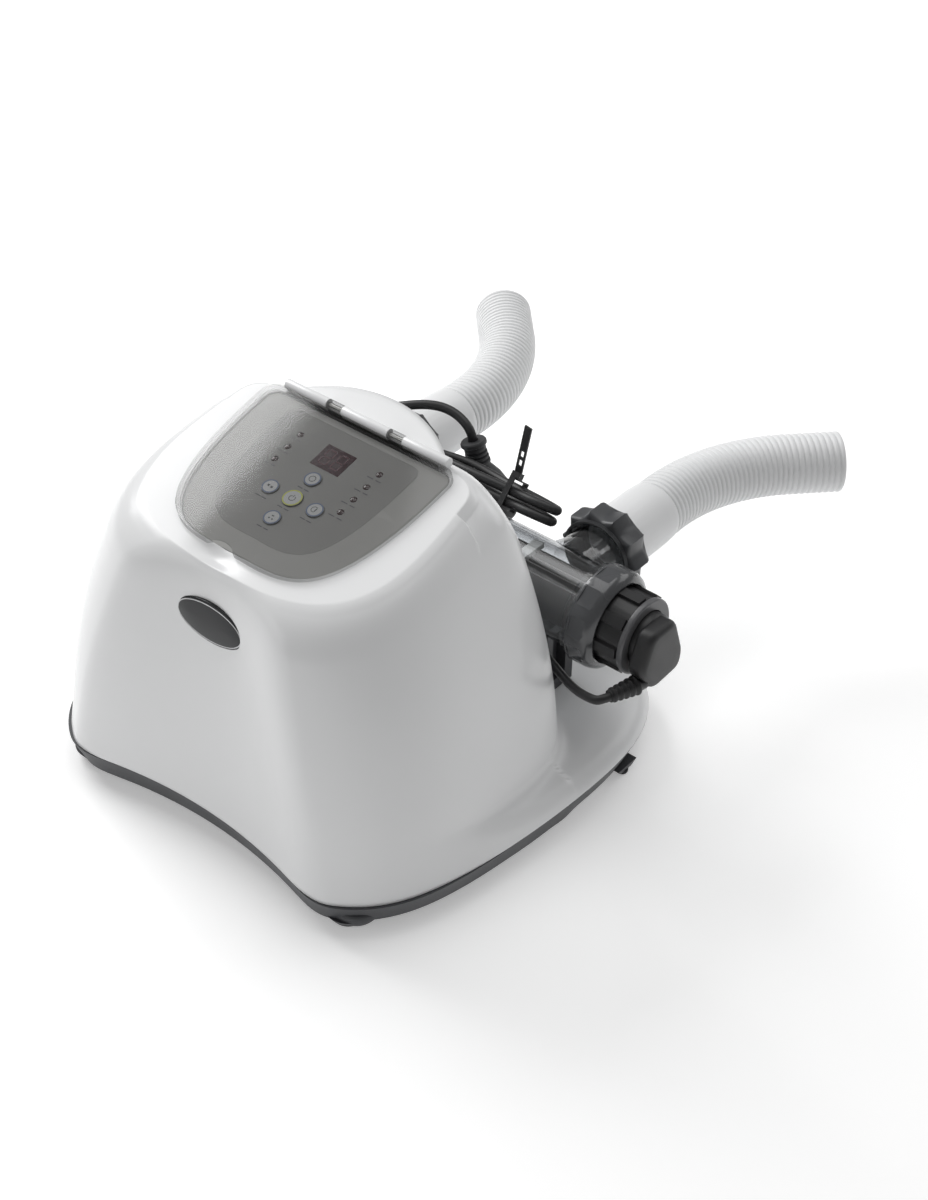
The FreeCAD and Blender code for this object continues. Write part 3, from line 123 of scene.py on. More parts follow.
def frames_along(path):
    """Direction, side and up vectors along a path, turning as little as possible."""
    path = np.asarray(path, float)
    along = np.gradient(path, axis=0)
    along /= np.linalg.norm(along, axis=1)[:, None]
    side = np.cross(along[0], (0.0, 0.3, 1.0))
    sides = []
    for t in along:
        side = side - t * np.dot(side, t)
        side /= np.linalg.norm(side)
        sides.append(side)
    sides = np.array(sides)
    return along, sides, np.cross(along, sides)


def tube_rows(path, radii, columns):
    _, side, up = frames_along(path)
    a = np.linspace(0, 2 * math.pi, columns, endpoint=False)
    radii = np.broadcast_to(radii, len(path))
    ring = side[:, None, :] * np.cos(a)[None, :, None] + up[:, None, :] * np.sin(a)[None, :, None]
    return np.asarray(path)[:, None, :] + ring * radii[:, None, None]


def smooth_path(points, spacing):
    """Even points along a Catmull-Rom curve through the points."""
    p = np.asarray(points, float)
    p = np.vstack([2 * p[0] - p[1], p, 2 * p[-1] - p[-2]])
    out = []
    for i in range(1, len(p) - 2):
        for t in np.linspace(0, 1, 24, endpoint=False):
            a, b, c, d = p[i - 1], p[i], p[i + 1], p[i + 2]
            out.append(0.5 * (2 * b + (c - a) * t + (2 * a - 5 * b + 4 * c - d) * t * t
                              + (3 * b - 3 * c + d - a) * t ** 3))
    out.append(p[-2])
    out = np.array(out)
    run = np.concatenate([[0], np.cumsum(np.linalg.norm(np.diff(out, axis=0), axis=1))])
    count = max(int(run[-1] / spacing), 2)
    at = np.linspace(0, run[-1], count)
    return np.stack([np.interp(at, run, out[:, k]) for k in range(3)], 1)


def lathe_rows(profile, start, axis, columns):
    """Rows of a turned shape: profile of (distance along, radius) pairs."""
    axis = np.asarray(axis, float) / np.linalg.norm(axis)
    helper = np.array((0.0, 0.0, 1.0)) if abs(axis[2]) < 0.9 else np.array((1.0, 0.0, 0.0))
    side = np.cross(axis, helper)
    side /= np.linalg.norm(side)
    up = np.cross(axis, side)
    a = np.linspace(0, 2 * math.pi, columns, endpoint=False)
    ring = np.cos(a)[:, None] * side + np.sin(a)[:, None] * up
    return np.array([np.asarray(start) + axis * s + ring * r for s, r in profile])


def on_panel(x, up, height):
    """Panel coordinates (x, upslope, above the panel face) as a place."""
    return np.stack(np.broadcast_arrays(x, PANEL_Y + up * COS - height * SIN, PANEL_Z + up * SIN + height * COS), -1)


# ---------------------------------------------------------------- materials
def node(tree, kind, **values):
    made = tree.nodes.new(kind)
    for key, value in values.items():
        if key in made.inputs:
            made.inputs[key].default_value = value
        else:
            setattr(made, key, value)
    return made


def noise(tree, place, scale, detail):
    made = tree.nodes.new("ShaderNodeTexNoise")
    made.inputs["Scale"].default_value = scale
    made.inputs["Detail"].default_value = detail
    tree.links.new(place.outputs["Object"], made.inputs["Vector"])
    return made.outputs["Fac"]


def ranged(tree, value, low, high, start=0.3, stop=0.7):
    made = tree.nodes.new("ShaderNodeMapRange")
    tree.links.new(value, made.inputs["Value"])
    made.inputs["From Min"].default_value = start
    made.inputs["From Max"].default_value = stop
    made.inputs["To Min"].default_value = low
    made.inputs["To Max"].default_value = high
    return made.outputs["Result"]


def mixed_colour(tree, factor, low, high):
    made = tree.nodes.new("ShaderNodeMix")
    made.data_type = "RGBA"
    tree.links.new(factor, made.inputs["Factor"])
    made.inputs["A"].default_value = (*low, 1.0)
    made.inputs["B"].default_value = (*high, 1.0)
    return made.outputs["Result"]


def plastic(name, colour, rough, vary=0.06, grain=0.04, grain_scale=1800.0, metal=0.0, coat=0.0, worn=0.10,
            specular=0.5):
    """Opaque finish with mottled colour, uneven gloss, a fine moulded grain and light handling wear."""
    made = bpy.data.materials.new(name)
    made.use_nodes = True
    tree = made.node_tree
    shader = tree.nodes["Principled BSDF"]
    place = tree.nodes.new("ShaderNodeTexCoord")
    dark = [c * (1 - vary) for c in colour]
    light = [min(c * (1 + vary), 1.0) for c in colour]
    tree.links.new(mixed_colour(tree, ranged(tree, noise(tree, place, 14.0, 3.0), 0, 1), dark, light),
                   shader.inputs["Base Color"])
    patches = ranged(tree, noise(tree, place, 22.0, 2.0), rough, rough + worn, 0.35, 0.75)
    tree.links.new(patches, shader.inputs["Roughness"])
    shader.inputs["Metallic"].default_value = metal
    shader.inputs["Coat Weight"].default_value = coat
    shader.inputs["Specular IOR Level"].default_value = specular
    bump = tree.nodes.new("ShaderNodeBump")
    bump.inputs["Strength"].default_value = grain
    bump.inputs["Distance"].default_value = 0.0002
    tree.links.new(noise(tree, place, grain_scale, 2.0), bump.inputs["Height"])
    tree.links.new(bump.outputs["Normal"], shader.inputs["Normal"])
    return made


def clear_plastic(name, tint, edge, shine=0.6, rough=0.05, facing_shine=0.012, rim_power=2.2):
    """Clear moulding: light passes straight through, darker where the wall is seen edge on."""
    made = bpy.data.materials.new(name)
    made.use_nodes = True
    tree = made.node_tree
    tree.nodes.remove(tree.nodes["Principled BSDF"])
    out = tree.nodes["Material Output"]
    place = tree.nodes.new("ShaderNodeTexCoord")
    facing = tree.nodes.new("ShaderNodeLayerWeight")
    facing.inputs["Blend"].default_value = 0.5
    rim = tree.nodes.new("ShaderNodeMath")
    rim.operation = "POWER"
    rim.inputs[1].default_value = rim_power
    tree.links.new(facing.outputs["Facing"], rim.inputs[0])
    through = tree.nodes.new("ShaderNodeBsdfTransparent")
    tree.links.new(mixed_colour(tree, rim.outputs["Value"], tint, edge), through.inputs["Color"])
    gloss = tree.nodes.new("ShaderNodeBsdfGlossy")
    tree.links.new(ranged(tree, noise(tree, place, 25.0, 2.0), rough, rough * 1.6), gloss.inputs["Roughness"])
    grazing = tree.nodes.new("ShaderNodeMath")
    grazing.operation = "POWER"
    grazing.inputs[1].default_value = 4.0
    tree.links.new(facing.outputs["Facing"], grazing.inputs[0])
    mirror = ranged(tree, grazing.outputs["Value"], facing_shine, shine, 0.0, 1.0)
    bump = tree.nodes.new("ShaderNodeBump")
    bump.inputs["Strength"].default_value = 0.015
    bump.inputs["Distance"].default_value = 0.0002
    tree.links.new(noise(tree, place, 30.0, 1.0), bump.inputs["Height"])
    tree.links.new(bump.outputs["Normal"], gloss.inputs["Normal"])
    mix = tree.nodes.new("ShaderNodeMixShader")
    tree.links.new(mirror, mix.inputs["Fac"])
    tree.links.new(through.outputs["BSDF"], mix.inputs[1])
    tree.links.new(gloss.outputs["BSDF"], mix.inputs[2])
    tree.links.new(mix.outputs["Shader"], out.inputs["Surface"])
    return made


LOOKS = {
    "white_shell": plastic("white_moulding", (0.81, 0.815, 0.82), 0.24, vary=0.006, grain=0.02, worn=0.03),
    "grey_tray": plastic("tray_moulding", (0.055, 0.057, 0.062), 0.48, vary=0.12, grain=0.25, grain_scale=1200.0),
    "rubber": plastic("foot_rubber", (0.03, 0.03, 0.032), 0.75, vary=0.2, grain=0.3),
    "screw_steel": plastic("plated_steel", (0.60, 0.60, 0.58), 0.30, metal=1.0),
    "badge": plastic("badge_black", (0.010, 0.011, 0.013), 0.22, coat=0.15, worn=0.05, specular=0.3),
    "fascia_grey": plastic("fascia_grey", (0.36, 0.36, 0.345), 0.42, vary=0.03, grain=0.12),
    "overlay_grey": plastic("overlay_film", (0.235, 0.235, 0.225), 0.38, vary=0.03, grain=0.10),
    "display_dark": plastic("display_filter", (0.045, 0.014, 0.02), 0.10, coat=0.6),
    "display_body": plastic("display_body", (0.02, 0.02, 0.02), 0.5),
    "led": plastic("led_lens", (0.045, 0.022, 0.022), 0.18, coat=0.5),
    "button_green": plastic("button_film_power", (0.33, 0.33, 0.32), 0.35, vary=0.03, grain=0.1),
    "button_slate": plastic("button_film", (0.33, 0.33, 0.325), 0.35, vary=0.03, grain=0.1),
    "board": plastic("circuit_board", (0.02, 0.12, 0.05), 0.4, vary=0.2),
    "clear_cover": clear_plastic("lid_clear", (0.92, 0.92, 0.92), (0.40, 0.40, 0.40), facing_shine=0.02, rim_power=1.7),
    "core": plastic("core_steel", (0.20, 0.20, 0.21), 0.45, metal=0.8, vary=0.15),
    "coil": plastic("coil_tape", (0.60, 0.38, 0.10), 0.6, vary=0.15),
    "aluminium": plastic("sink_aluminium", (0.70, 0.71, 0.72), 0.35, metal=1.0),
    "wiring": plastic("wire_red", (0.32, 0.04, 0.03), 0.5),
    "black_gland": plastic("gland_black", (0.018, 0.018, 0.019), 0.5, grain=0.2),
    "clear_vessel": clear_plastic("vessel_clear", (0.95, 0.96, 0.97), (0.46, 0.47, 0.48), shine=0.8, facing_shine=0.09,
                                  rim_power=1.9),
    "bracket_grey": plastic("bracket_grey", (0.035, 0.036, 0.04), 0.5, grain=0.2),
    "collar_grey": plastic("collar_smoke", (0.060, 0.062, 0.066), 0.20, coat=0.5, vary=0.15, worn=0.08),
    "cap_black": plastic("cap_black", (0.014, 0.014, 0.015), 0.34, vary=0.2, grain=0.15),
    "ring_grey": plastic("ring_grey", (0.10, 0.10, 0.105), 0.30, vary=0.1),
    "titanium": plastic("coated_plate", (0.16, 0.155, 0.15), 0.38, metal=0.9, vary=0.15, grain=0.3),
    "spacer": plastic("spacer_white", (0.60, 0.60, 0.58), 0.4),
    "sensor": plastic("sensor_grey", (0.04, 0.04, 0.043), 0.45),
    "nut_grey": plastic("nut_grey", (0.052, 0.054, 0.058), 0.36, vary=0.12, grain=0.12, worn=0.14),
    "hose_white": plastic("hose_white", (0.78, 0.785, 0.79), 0.42, vary=0.015, grain=0.05),
    "cable_black": plastic("cable_black", (0.014, 0.014, 0.015), 0.42, vary=0.2, grain=0.2),
    "plug_grey": plastic("plug_grey", (0.035, 0.036, 0.038), 0.5, grain=0.2),
    "plug_brass": plastic("pin_brass", (0.72, 0.58, 0.30), 0.28, metal=1.0),
}
LED_SCREEN = plastic("segment_dim", (0.075, 0.024, 0.032), 0.2)
RING_GREEN = plastic("ring_green", (0.50, 0.53, 0.09), 0.35, vary=0.05)
RING_SLATE = plastic("ring_slate", (0.12, 0.16, 0.26), 0.35, vary=0.08)
RING_FILL = plastic("ring_fill", (0.47, 0.48, 0.48), 0.35, vary=0.03)
PRINT_DARK = plastic("print_dark", (0.09, 0.09, 0.10), 0.4, vary=0.05)
PRINT_LIGHT = plastic("print_light", (0.42, 0.42, 0.42), 0.4, vary=0.05)
SILVER_LINE = plastic("silver_line", (0.55, 0.55, 0.56), 0.25, metal=0.6, vary=0.05)


SOFTENED = {"collar_nut": 0.8, "cell_cap": 0.5, "cell_end_ring": 0.4,
            "vessel_brackets": 0.5, "hinge_bar": 0.4, "power_plug": 0.4, "flow_sensor_nut": 0.5,
            "flow_sensor_body": 0.5, "hose_cuff_left": 0.5, "hose_cuff_right": 0.5, "panel_fascia": 0.3}


def soften(piece, radius):
    """Round the sharp edges of a CAD piece as it is shown."""
    weld = piece.modifiers.new("weld", "WELD")
    weld.merge_threshold = 0.00001
    edge = piece.modifiers.new("edge", "BEVEL")
    edge.width = radius * MM
    edge.segments = 3
    edge.limit_method = "ANGLE"
    edge.angle_limit = math.radians(32)
    edge.harden_normals = True


def dress_frame():
    """Give every CAD node the finish of its slot, and soften the edges of the nodes listed in SOFTENED."""
    slots = {part["node"]: part["material_slot"] for part in frame["record"]["subparts"]}
    for name, piece in frame["nodes"].items():
        look = LOOKS[slots[name]]
        if not piece.material_slots:
            piece.data.materials.append(look)
        for place in piece.material_slots:
            place.material = look
        if name in SOFTENED:
            soften(piece, SOFTENED[name])


# ---------------------------------------------------------------- housing skin
def soft_max(a, b, k):
    """Larger of a and b with their crossing rounded over the width k."""
    h = np.maximum(k - np.abs(a - b), 0.0) / k
    return np.maximum(a, b) + h * h * k / 4


def soft_min(a, b, k):
    return -soft_max(-a, -b, k)


def bell_widths(z):
    """Half width, front wall, back wall and dividing line of the bell at a height."""
    h = (z - BELL_FOOT) / BELL_RISE
    half = BELL_HALF[0] + BELL_HALF[1] * h + BELL_HALF[2] * h * h
    front = BELL_FRONT[0] + BELL_FRONT[1] * h + BELL_FRONT[2] * h * h
    return half, front, BELL_BACK[0] + BELL_BACK[1] * h, BELL_MIDDLE[0] + BELL_MIDDLE[1] * h


def oval(x, y, half, reach, power):
    """Distance outside a superellipse, near enough close to its edge."""
    r = (np.abs(x / half) ** power + np.abs(y / reach) ** power) ** (1 / power)
    return (r - 1) * np.minimum(half, reach)


def bell_field(x, y, z):
    half, front, back, middle = bell_widths(z)
    before = oval(x, y - middle, half, middle - front, BELL_POWER_FRONT)
    behind = oval(x, y - middle, half, back - middle, BELL_POWER_BACK)
    side = np.where(y < middle, before, behind)
    top = (z - PANEL_Z - (y - PANEL_Y) * TAN) * COS - TOP_RISE
    dome = soft_max(side, top, ROUND_BLEND * BELL_ROUND)
    behind_hinge = (z - BACK_SLANT[1] + BACK_SLANT[2] * (y - BACK_SLANT[0])) / math.hypot(1.0, BACK_SLANT[2])
    beside = np.clip((np.abs(x) - 74.0) / 40.0, 0.0, 1.0)
    return soft_max(dome, behind_hinge, 6.0 + 18.0 * beside * beside * (3 - 2 * beside))


def base_half(y):
    return BASE_HALF + BASE_FLARE / (1 + np.exp(-(y + 20) / 25.0))


def base_field(x, y):
    reach = np.where(y < BASE_Y, BASE_FRONT, BASE_REAR)
    return oval(x, y - BASE_Y, base_half(y), reach, BASE_POWER)


def arch_face(x, z):
    """Hollow front face between the two ridges."""
    lean = -156.9 + 0.109 * (z - SEAM_Z)
    bow = 0.0014 + 0.0019 * np.maximum((z - SEAM_Z) / 160.0, 0.0) ** 1.4
    return lean - bow * x * x


def shelf_top(x, y):
    """Shelf surface: high beside the front, low beside the cell, rising inwards."""
    edge = 30.0 + 36.0 / (1 + np.exp((y + 92) / 30.0))
    return edge + 14.0 * (1 - np.exp(-np.maximum(-base_field(x, y), -8.0) / 14.0))


def housing_field(x, y, z):
    """Negative inside the solid housing, positive outside, about a distance near its skin."""
    wall = base_field(x, y) + 0.27 * (z - SEAM_Z)
    shelf = soft_max(wall, z - shelf_top(x, y), 7.0)
    body = soft_min(bell_field(x, y, z), shelf, 9.0)
    body = soft_max(body, arch_face(x, z) - y, 12.0)
    return soft_max(body, CELL_R + 3.5 - np.hypot(y - CELL_Y, z - CELL_Z), 6.0)


def on_skin(start, through, field=housing_field):
    """Points on the skin, on rays from start through the guide points."""
    start = np.broadcast_to(start, through.shape)
    inside = np.full(len(through), 0.1)
    outside = np.full(len(through), 3.4)
    for _ in range(30):
        t = (inside + outside) / 2
        p = start + (through - start) * t[:, None]
        within = field(p[:, 0], p[:, 1], p[:, 2]) < 0
        inside = np.where(within, t, inside)
        outside = np.where(within, outside, t)
    return start + (through - start) * outside[:, None]


ANGLE = 2 * math.pi * np.arange(AROUND) / AROUND


def direction(power):
    """Unit superellipse points round a section."""
    c, s = np.cos(ANGLE), np.sin(ANGLE)
    r = (np.abs(c) ** power + np.abs(s) ** power) ** (-1 / power)
    return c * r, s * r


def bell_guide(start, level, swing):
    """Places on the plain bell, from the start height up and round the top rounding."""
    ux, uy = direction(np.where(ANGLE > math.pi, BELL_POWER_FRONT, BELL_POWER_BACK))
    out = BELL_ROUND * (math.cos(math.radians(swing)) - 1)
    lift = BELL_ROUND * math.sin(math.radians(swing)) / COS
    y = np.zeros(AROUND)
    for _ in range(6):
        top = PANEL_Z + (TOP_RISE - BELL_ROUND) / COS + (y - PANEL_Y) * TAN
        z = start + level * (top - start)
        half, front, back, middle = bell_widths(z)
        reach = np.where(uy < 0, middle - front, back - middle)
        y = middle + uy * (reach + out)
    return np.stack([ux * (half + out), y, z + lift], 1)


def shelf_guide(inward):
    """Places on the shelf, between its outer edge (0) and the bell (1)."""
    ux, uy = direction(BASE_POWER)
    y0 = BASE_Y + uy * np.where(uy < 0, BASE_FRONT, BASE_REAR)
    x0 = ux * base_half(y0)
    foot = bell_guide(SEAM_Z, 0.05, 0)
    x, y = x0 + (foot[:, 0] - x0) * inward, y0 + (foot[:, 1] - y0) * inward
    return np.stack([x, y, shelf_top(x, y) + 12.0 * inward], 1)


def shield(half, top, shoulder, bottom, corner):
    """Dense outline of the panel pieces: straight top, bowed sides and foot."""
    s = np.sin(np.linspace(0, math.pi / 2, 140))
    side = np.stack([half * np.maximum(1 - s ** 2.4, 0) ** (1 / 4.5), shoulder + (bottom - shoulder) * s], 1)
    a = np.linspace(0, math.pi / 2, 24)
    arc = np.stack([half - corner + corner * np.cos(a), top - corner + corner * np.sin(a)], 1)
    right = np.vstack([side[::-1], arc])
    left = right[::-1] * (-1, 1)
    return np.vstack([right, left[:-1]])


def grown(outline, by):
    half, top, shoulder, bottom, corner = outline
    return shield(half + by, top + by, shoulder, bottom - by, corner + by)


def outline_towards(outline, directions):
    """Points of an outline in the directions given, seen from the panel's middle."""
    middle = np.array((0.0, 6.0))
    at = np.arctan2(outline[:, 1] - middle[1], outline[:, 0] - middle[0])
    far = np.hypot(outline[:, 0], outline[:, 1] - middle[1])
    order = np.argsort(at)
    reach = np.interp(directions, at[order], far[order], period=2 * math.pi)
    return np.cos(directions) * reach, middle[1] + np.sin(directions) * reach


def finger_scoop(points):
    """Shallow dish in front of the lid's finger notch."""
    up = (points[:, 1] - PANEL_Y) / COS
    depth = 2.6 * np.exp(-((points[:, 0] + 8) / 15.0) ** 2 - ((up + 66) / 7.0) ** 2)
    high = points[:, 2] > PANEL_Z - 40
    push = np.where(high, depth, 0.0)
    return points + np.stack([0 * push, push * SIN, -push * COS], 1)


def housing_rows():
    rows = []
    edge = shelf_guide(0.0)
    low = SEAM_Z + GAP / 2
    for t in np.linspace(0, 0.94, 14):
        start = np.array((HUB[0], HUB[1], low + t * (HUB[2] - low)))
        rows.append(on_skin(start, np.stack([edge[:, 0], edge[:, 1], low + t * (edge[:, 2] - low)], 1)))
    for t in np.linspace(0, 1, 34) ** 1.25:
        rows.append(on_skin(np.array(HUB), shelf_guide(t)))
    starts = shelf_guide(1.0)[:, 2]
    for level in np.linspace(0.015, 1, 84):
        rows.append(on_skin(np.array(HUB), bell_guide(starts, level, 0)))
    for swing in range(6, 84, 6):
        rows.append(on_skin(np.array(HUB), bell_guide(starts, 1.0, swing)))
    cap = bell_guide(SEAM_Z, 1.0, 90)
    cx, cy = cap[:, 0] * 0.98, (cap[:, 1] - PANEL_Y) / COS * 0.98
    turn = np.arctan2(cy - 6.0, cx)
    lip = 0.7
    px, py = outline_towards(grown(FRAME_OUTLINE, GAP + lip), turn)
    for t in np.linspace(0, 1, 12):
        rows.append(on_panel(cx + (px - cx) * t, cy + (py - cy) * t, TOP_RISE))
    for a in (30, 60, 90):
        r = lip * (1 - math.sin(math.radians(a)))
        qx, qy = outline_towards(grown(FRAME_OUTLINE, GAP + r), turn)
        rows.append(on_panel(qx, qy, TOP_RISE - lip * (1 - math.cos(math.radians(a)))))
    qx, qy = outline_towards(grown(FRAME_OUTLINE, GAP), turn)
    rows.append(on_panel(qx, qy, -2.0))
    qx, qy = outline_towards(grown(FRAME_OUTLINE, -5.0), turn)
    rows.append(on_panel(qx, qy, -2.0))
    rows.append(on_panel(qx, qy, -5.0))
    return [finger_scoop(r) for r in rows]


def housing():
    piece = lofted("housing", housing_rows(), "enclosure", LOOKS["white_shell"])
    thick = piece.modifiers.new("wall", "SOLIDIFY")
    thick.thickness = 0.0022
    thick.offset = -1.0
    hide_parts("housing_shell")
    return piece


def foot_bulge(side):
    """Front corner of the tray, swelling down to its rubber foot."""
    a = np.linspace(0, 2 * math.pi, 96, endpoint=False)
    power = 2.6
    r = (np.abs(np.cos(a)) ** power + np.abs(np.sin(a)) ** power) ** (-1 / power)
    rows = []
    for z, size in ((15.0, 0.98), (10.0, 0.99), (6.5, 0.96), (4.0, 0.90), (2.4, 0.82), (1.8, 0.72), (1.6, 0.30)):
        rows.append(np.stack([side * 117.0 + 27.0 * size * r * np.cos(a), -141.0 + 21.0 * size * r * np.sin(a),
                              np.full(a.shape, z)], 1))
    name = "right" if side > 0 else "left"
    lofted("foot_bulge_" + name, rows[::-1], "enclosure", LOOKS["grey_tray"], ends=True)


# ---------------------------------------------------------------- hoses
def hose(side):
    """Corrugated hose with a plain bore."""
    pitch, groove = 4.6, 1.5
    length = HOSE_LEAD + HOSE_BEND * HOSE_TURN + HOSE_TAIL
    count = int(length / pitch * 10)
    s = np.linspace(0, length, count)
    turn = np.clip((s - HOSE_LEAD) / HOSE_BEND, 0.0, HOSE_TURN)
    tail = np.maximum(s - length + HOSE_TAIL, 0.0)
    x0 = PORT_X[1] if side > 0 else PORT_X[0]
    path = np.stack([x0 + side * (HOSE_BEND * (1 - np.cos(turn)) + tail * math.sin(HOSE_TURN)),
                     HOSE_START + np.minimum(s, HOSE_LEAD) + HOSE_BEND * np.sin(turn) + tail * math.cos(HOSE_TURN),
                     np.full(count, CELL_Z)], 1)
    ribs = HOSE_R - groove * np.cos(math.pi * s / pitch) ** 6
    outer = tube_rows(path, ribs, 72)
    inner = tube_rows(path, np.full(count, HOSE_BORE), 72)[::-12]
    name = "hose_ribs_right" if side > 0 else "hose_ribs_left"
    piece = lofted(name, np.vstack([outer, inner]), "enclosure", LOOKS["hose_white"], wrap_rows=True)
    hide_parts("hose_right" if side > 0 else "hose_left")
    return piece


# ---------------------------------------------------------------- union nuts and cell plug
def union_nut(side):
    """Nut with ten pointed lobes and soft flutes between them, and a ridged neck in front."""
    lobes, depth, radius, bore = 10, 5.0, 33.1, 25.8
    near, far = (v / MM for v in (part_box("union_nut_right")[0][1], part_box("union_nut_right")[1][1]))
    a = np.linspace(0, 2 * math.pi, 240, endpoint=False)
    across = np.abs(2 * ((a * lobes / (2 * math.pi)) % 1.0) - 1)
    flute = depth * (1 - across ** 1.7)
    x0 = PORT_X[1] if side > 0 else PORT_X[0]

    def ring(y, r, share):
        reach = r - flute * share
        return np.stack([x0 + reach * np.cos(a), np.full(a.shape, y), CELL_Z + reach * np.sin(a)], 1)
    rows = [ring(near - 3.6, bore, 0), ring(near - 3.6, bore + 1.2, 0)]
    for ridge in (3.4, 2.3, 1.2):
        rows += [ring(near - ridge, bore + 1.6, 0), ring(near - ridge + 0.5, bore + 1.6, 0),
                 ring(near - ridge + 0.6, bore + 0.9, 0), ring(near - ridge + 1.0, bore + 0.9, 0)]
    rows += [ring(near, bore + 1.4, 0), ring(near + 0.1, radius - 4.0, 0.8), ring(near + 0.6, radius - 1.8, 1),
             ring(near + 1.8, radius - 0.5, 1), ring(near + 3.4, radius, 1), ring(near + 15.5, radius, 1),
             ring(near + 18.0, radius - 0.9, 1), ring(near + 20.2, radius - 2.6, 0.8), ring(far, radius - 4.6, 0.4),
             ring(far, bore - 1.2, 0), ring(far - 6.0, bore - 1.2, 0), ring(far - 6.2, bore, 0)]
    name = "right" if side > 0 else "left"
    piece = lofted("lobed_nut_" + name, rows, "nut_" + name, LOOKS["nut_grey"], wrap_rows=True)
    piece.modifiers.new("creases", "EDGE_SPLIT").split_angle = math.radians(48)
    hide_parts("union_nut_" + name)


def cell_plug():
    """Right-angle plug: rounded angular head, round nose and a relief of five ribs."""
    corners = np.array([(-17.5, 19.0), (9.6, 19.0), (21.6, -14.0), (19.4, -28.0), (-12.1, -30.0), (-28.0, -8.0)])
    middle = corners.mean(0)
    outline = []
    for i in range(len(corners)):
        before, here, after = corners[i - 1], corners[i], corners[(i + 1) % len(corners)]
        start = here + (before - here) / np.linalg.norm(before - here) * 6.5
        stop = here + (after - here) / np.linalg.norm(after - here) * 6.5
        for t in np.linspace(0, 1, 9):
            outline.append((1 - t) ** 2 * start + 2 * t * (1 - t) * here + t * t * stop)
    outline = np.array(outline)[::-1]

    def ring(x, inset):
        size = 1 - inset / 24.0
        place = middle + (outline - middle) * size
        return np.stack([np.full(len(outline), x), CELL_Y + place[:, 0], CELL_Z + place[:, 1]], 1)
    rows = [ring(196.9, 1.2), ring(197.6, 0.3), ring(199.0, 0.0)]
    rows += [ring(205.2 + 4.8 * math.sin(b), 4.8 * (1 - math.cos(b))) for b in np.linspace(0, math.pi / 2, 9)]
    rows += [ring(210.0, 10.0), ring(210.0, 20.0), ring(210.0, 23.5)]
    head = lofted("plug_head", rows, "plug", LOOKS["cable_black"], ends=True)
    nose = [(0.0, 14.0), (0.0, 19.0), (0.8, 19.8), (11.0, 19.8), (12.4, 18.6), (12.4, 8.0)]
    rows = lathe_rows(nose, (186.6, CELL_Y, CELL_Z), (1, 0, 0), 96)
    lofted("plug_nose", rows, "plug", LOOKS["cable_black"], ends=True)
    relief = [(-4.0, 4.9), (1.6, 5.2)]
    for i in range(5):
        at, r = 2.0 + 4.6 * i, 7.2 - 0.45 * i
        relief += [(at, r - 1.6), (at + 0.4, r - 0.3), (at + 0.9, r), (at + 1.9, r), (at + 2.4, r - 0.3),
                   (at + 2.8, r - 1.8), (at + 4.2, r - 2.0)]
    relief += [(24.6, 4.6), (25.0, 4.0), (25.0, 1.0)]
    rows = lathe_rows(relief, (203.0, CELL_Y - 20.0, CELL_Z - 22.0), (-0.29, -0.95, 0.0), 48)
    lofted("plug_relief", rows, "plug", LOOKS["cable_black"], ends=True)
    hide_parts("cell_plug")


# ---------------------------------------------------------------- cell cable
def cell_lead():
    """Cable from the cell's plug to its bush."""
    start = np.array((203.0, CELL_Y - 20.0, CELL_Z - 22.0))
    step = np.array((-0.29, -0.95, 0.0))
    step /= np.linalg.norm(step)
    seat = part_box("cell_cable_gland")[1][1] / MM
    gland_x = (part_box("cell_cable_gland")[0][0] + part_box("cell_cable_gland")[1][0]) / 2 / MM
    z = (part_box("cell_cable_gland")[0][2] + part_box("cell_cable_gland")[1][2]) / 2 / MM
    points = [start + step * off for off in (2, 12, 22, 29)]
    points.append(start + step * 36 + (-5, 4, -3))
    points += [(164, 37, z + 3), (136, 50, z), (118, 58.5, z), (104, 62.2, z), (92, 67.5, z), (82, 74, z),
               (gland_x + 2.5, seat + 8.5, z), (gland_x, seat + 1, z), (gland_x, seat - 10, z)]
    path = smooth_path(points, 1.6)
    piece = lofted("cell_lead", tube_rows(path, CABLE_R, 28), None, LOOKS["cable_black"], ends=True)
    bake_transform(piece)
    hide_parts("cell_cable")


# ---------------------------------------------------------------- printed panel
def flat_ring(name, centre, outer, inner, height, body, material):
    """Thin printed ring on the panel."""
    a = np.linspace(0, 2 * math.pi, 64, endpoint=False)
    rows = []
    for r, h in ((inner, height - 0.05), (inner, height), (outer, height), (outer, height - 0.05)):
        rows.append(on_panel(centre[0] + r * np.cos(a), centre[1] + r * np.sin(a), h))
    piece = lofted(name, rows, body, material, wrap_rows=True)
    for polygon in piece.data.polygons:
        polygon.use_smooth = False
    return piece


def flat_bar(places, height):
    """Vertices and faces of thin printed bars: each is (x, up, length, width, angle)."""
    vertices, faces = [], []
    for x, up, length, width, angle in places:
        c, s = math.cos(angle), math.sin(angle)
        base = len(vertices)
        for h in (height - 0.05, height):
            for dx, dy in ((-1, -1), (1, -1), (1, 1), (-1, 1)):
                lx, ly = dx * length / 2, dy * width / 2
                vertices.append(on_panel(x + lx * c - ly * s, up + lx * s + ly * c, h))
        for f in ((3, 2, 1, 0), (4, 5, 6, 7), (0, 1, 5, 4), (1, 2, 6, 5), (2, 3, 7, 6), (3, 0, 4, 7)):
            faces.append(tuple(base + k for k in f))
    return vertices, faces


def bars(name, places, height, body, material):
    vertices, faces = flat_bar(places, height)
    return new_piece(name, vertices, faces, body, material, smooth=False)


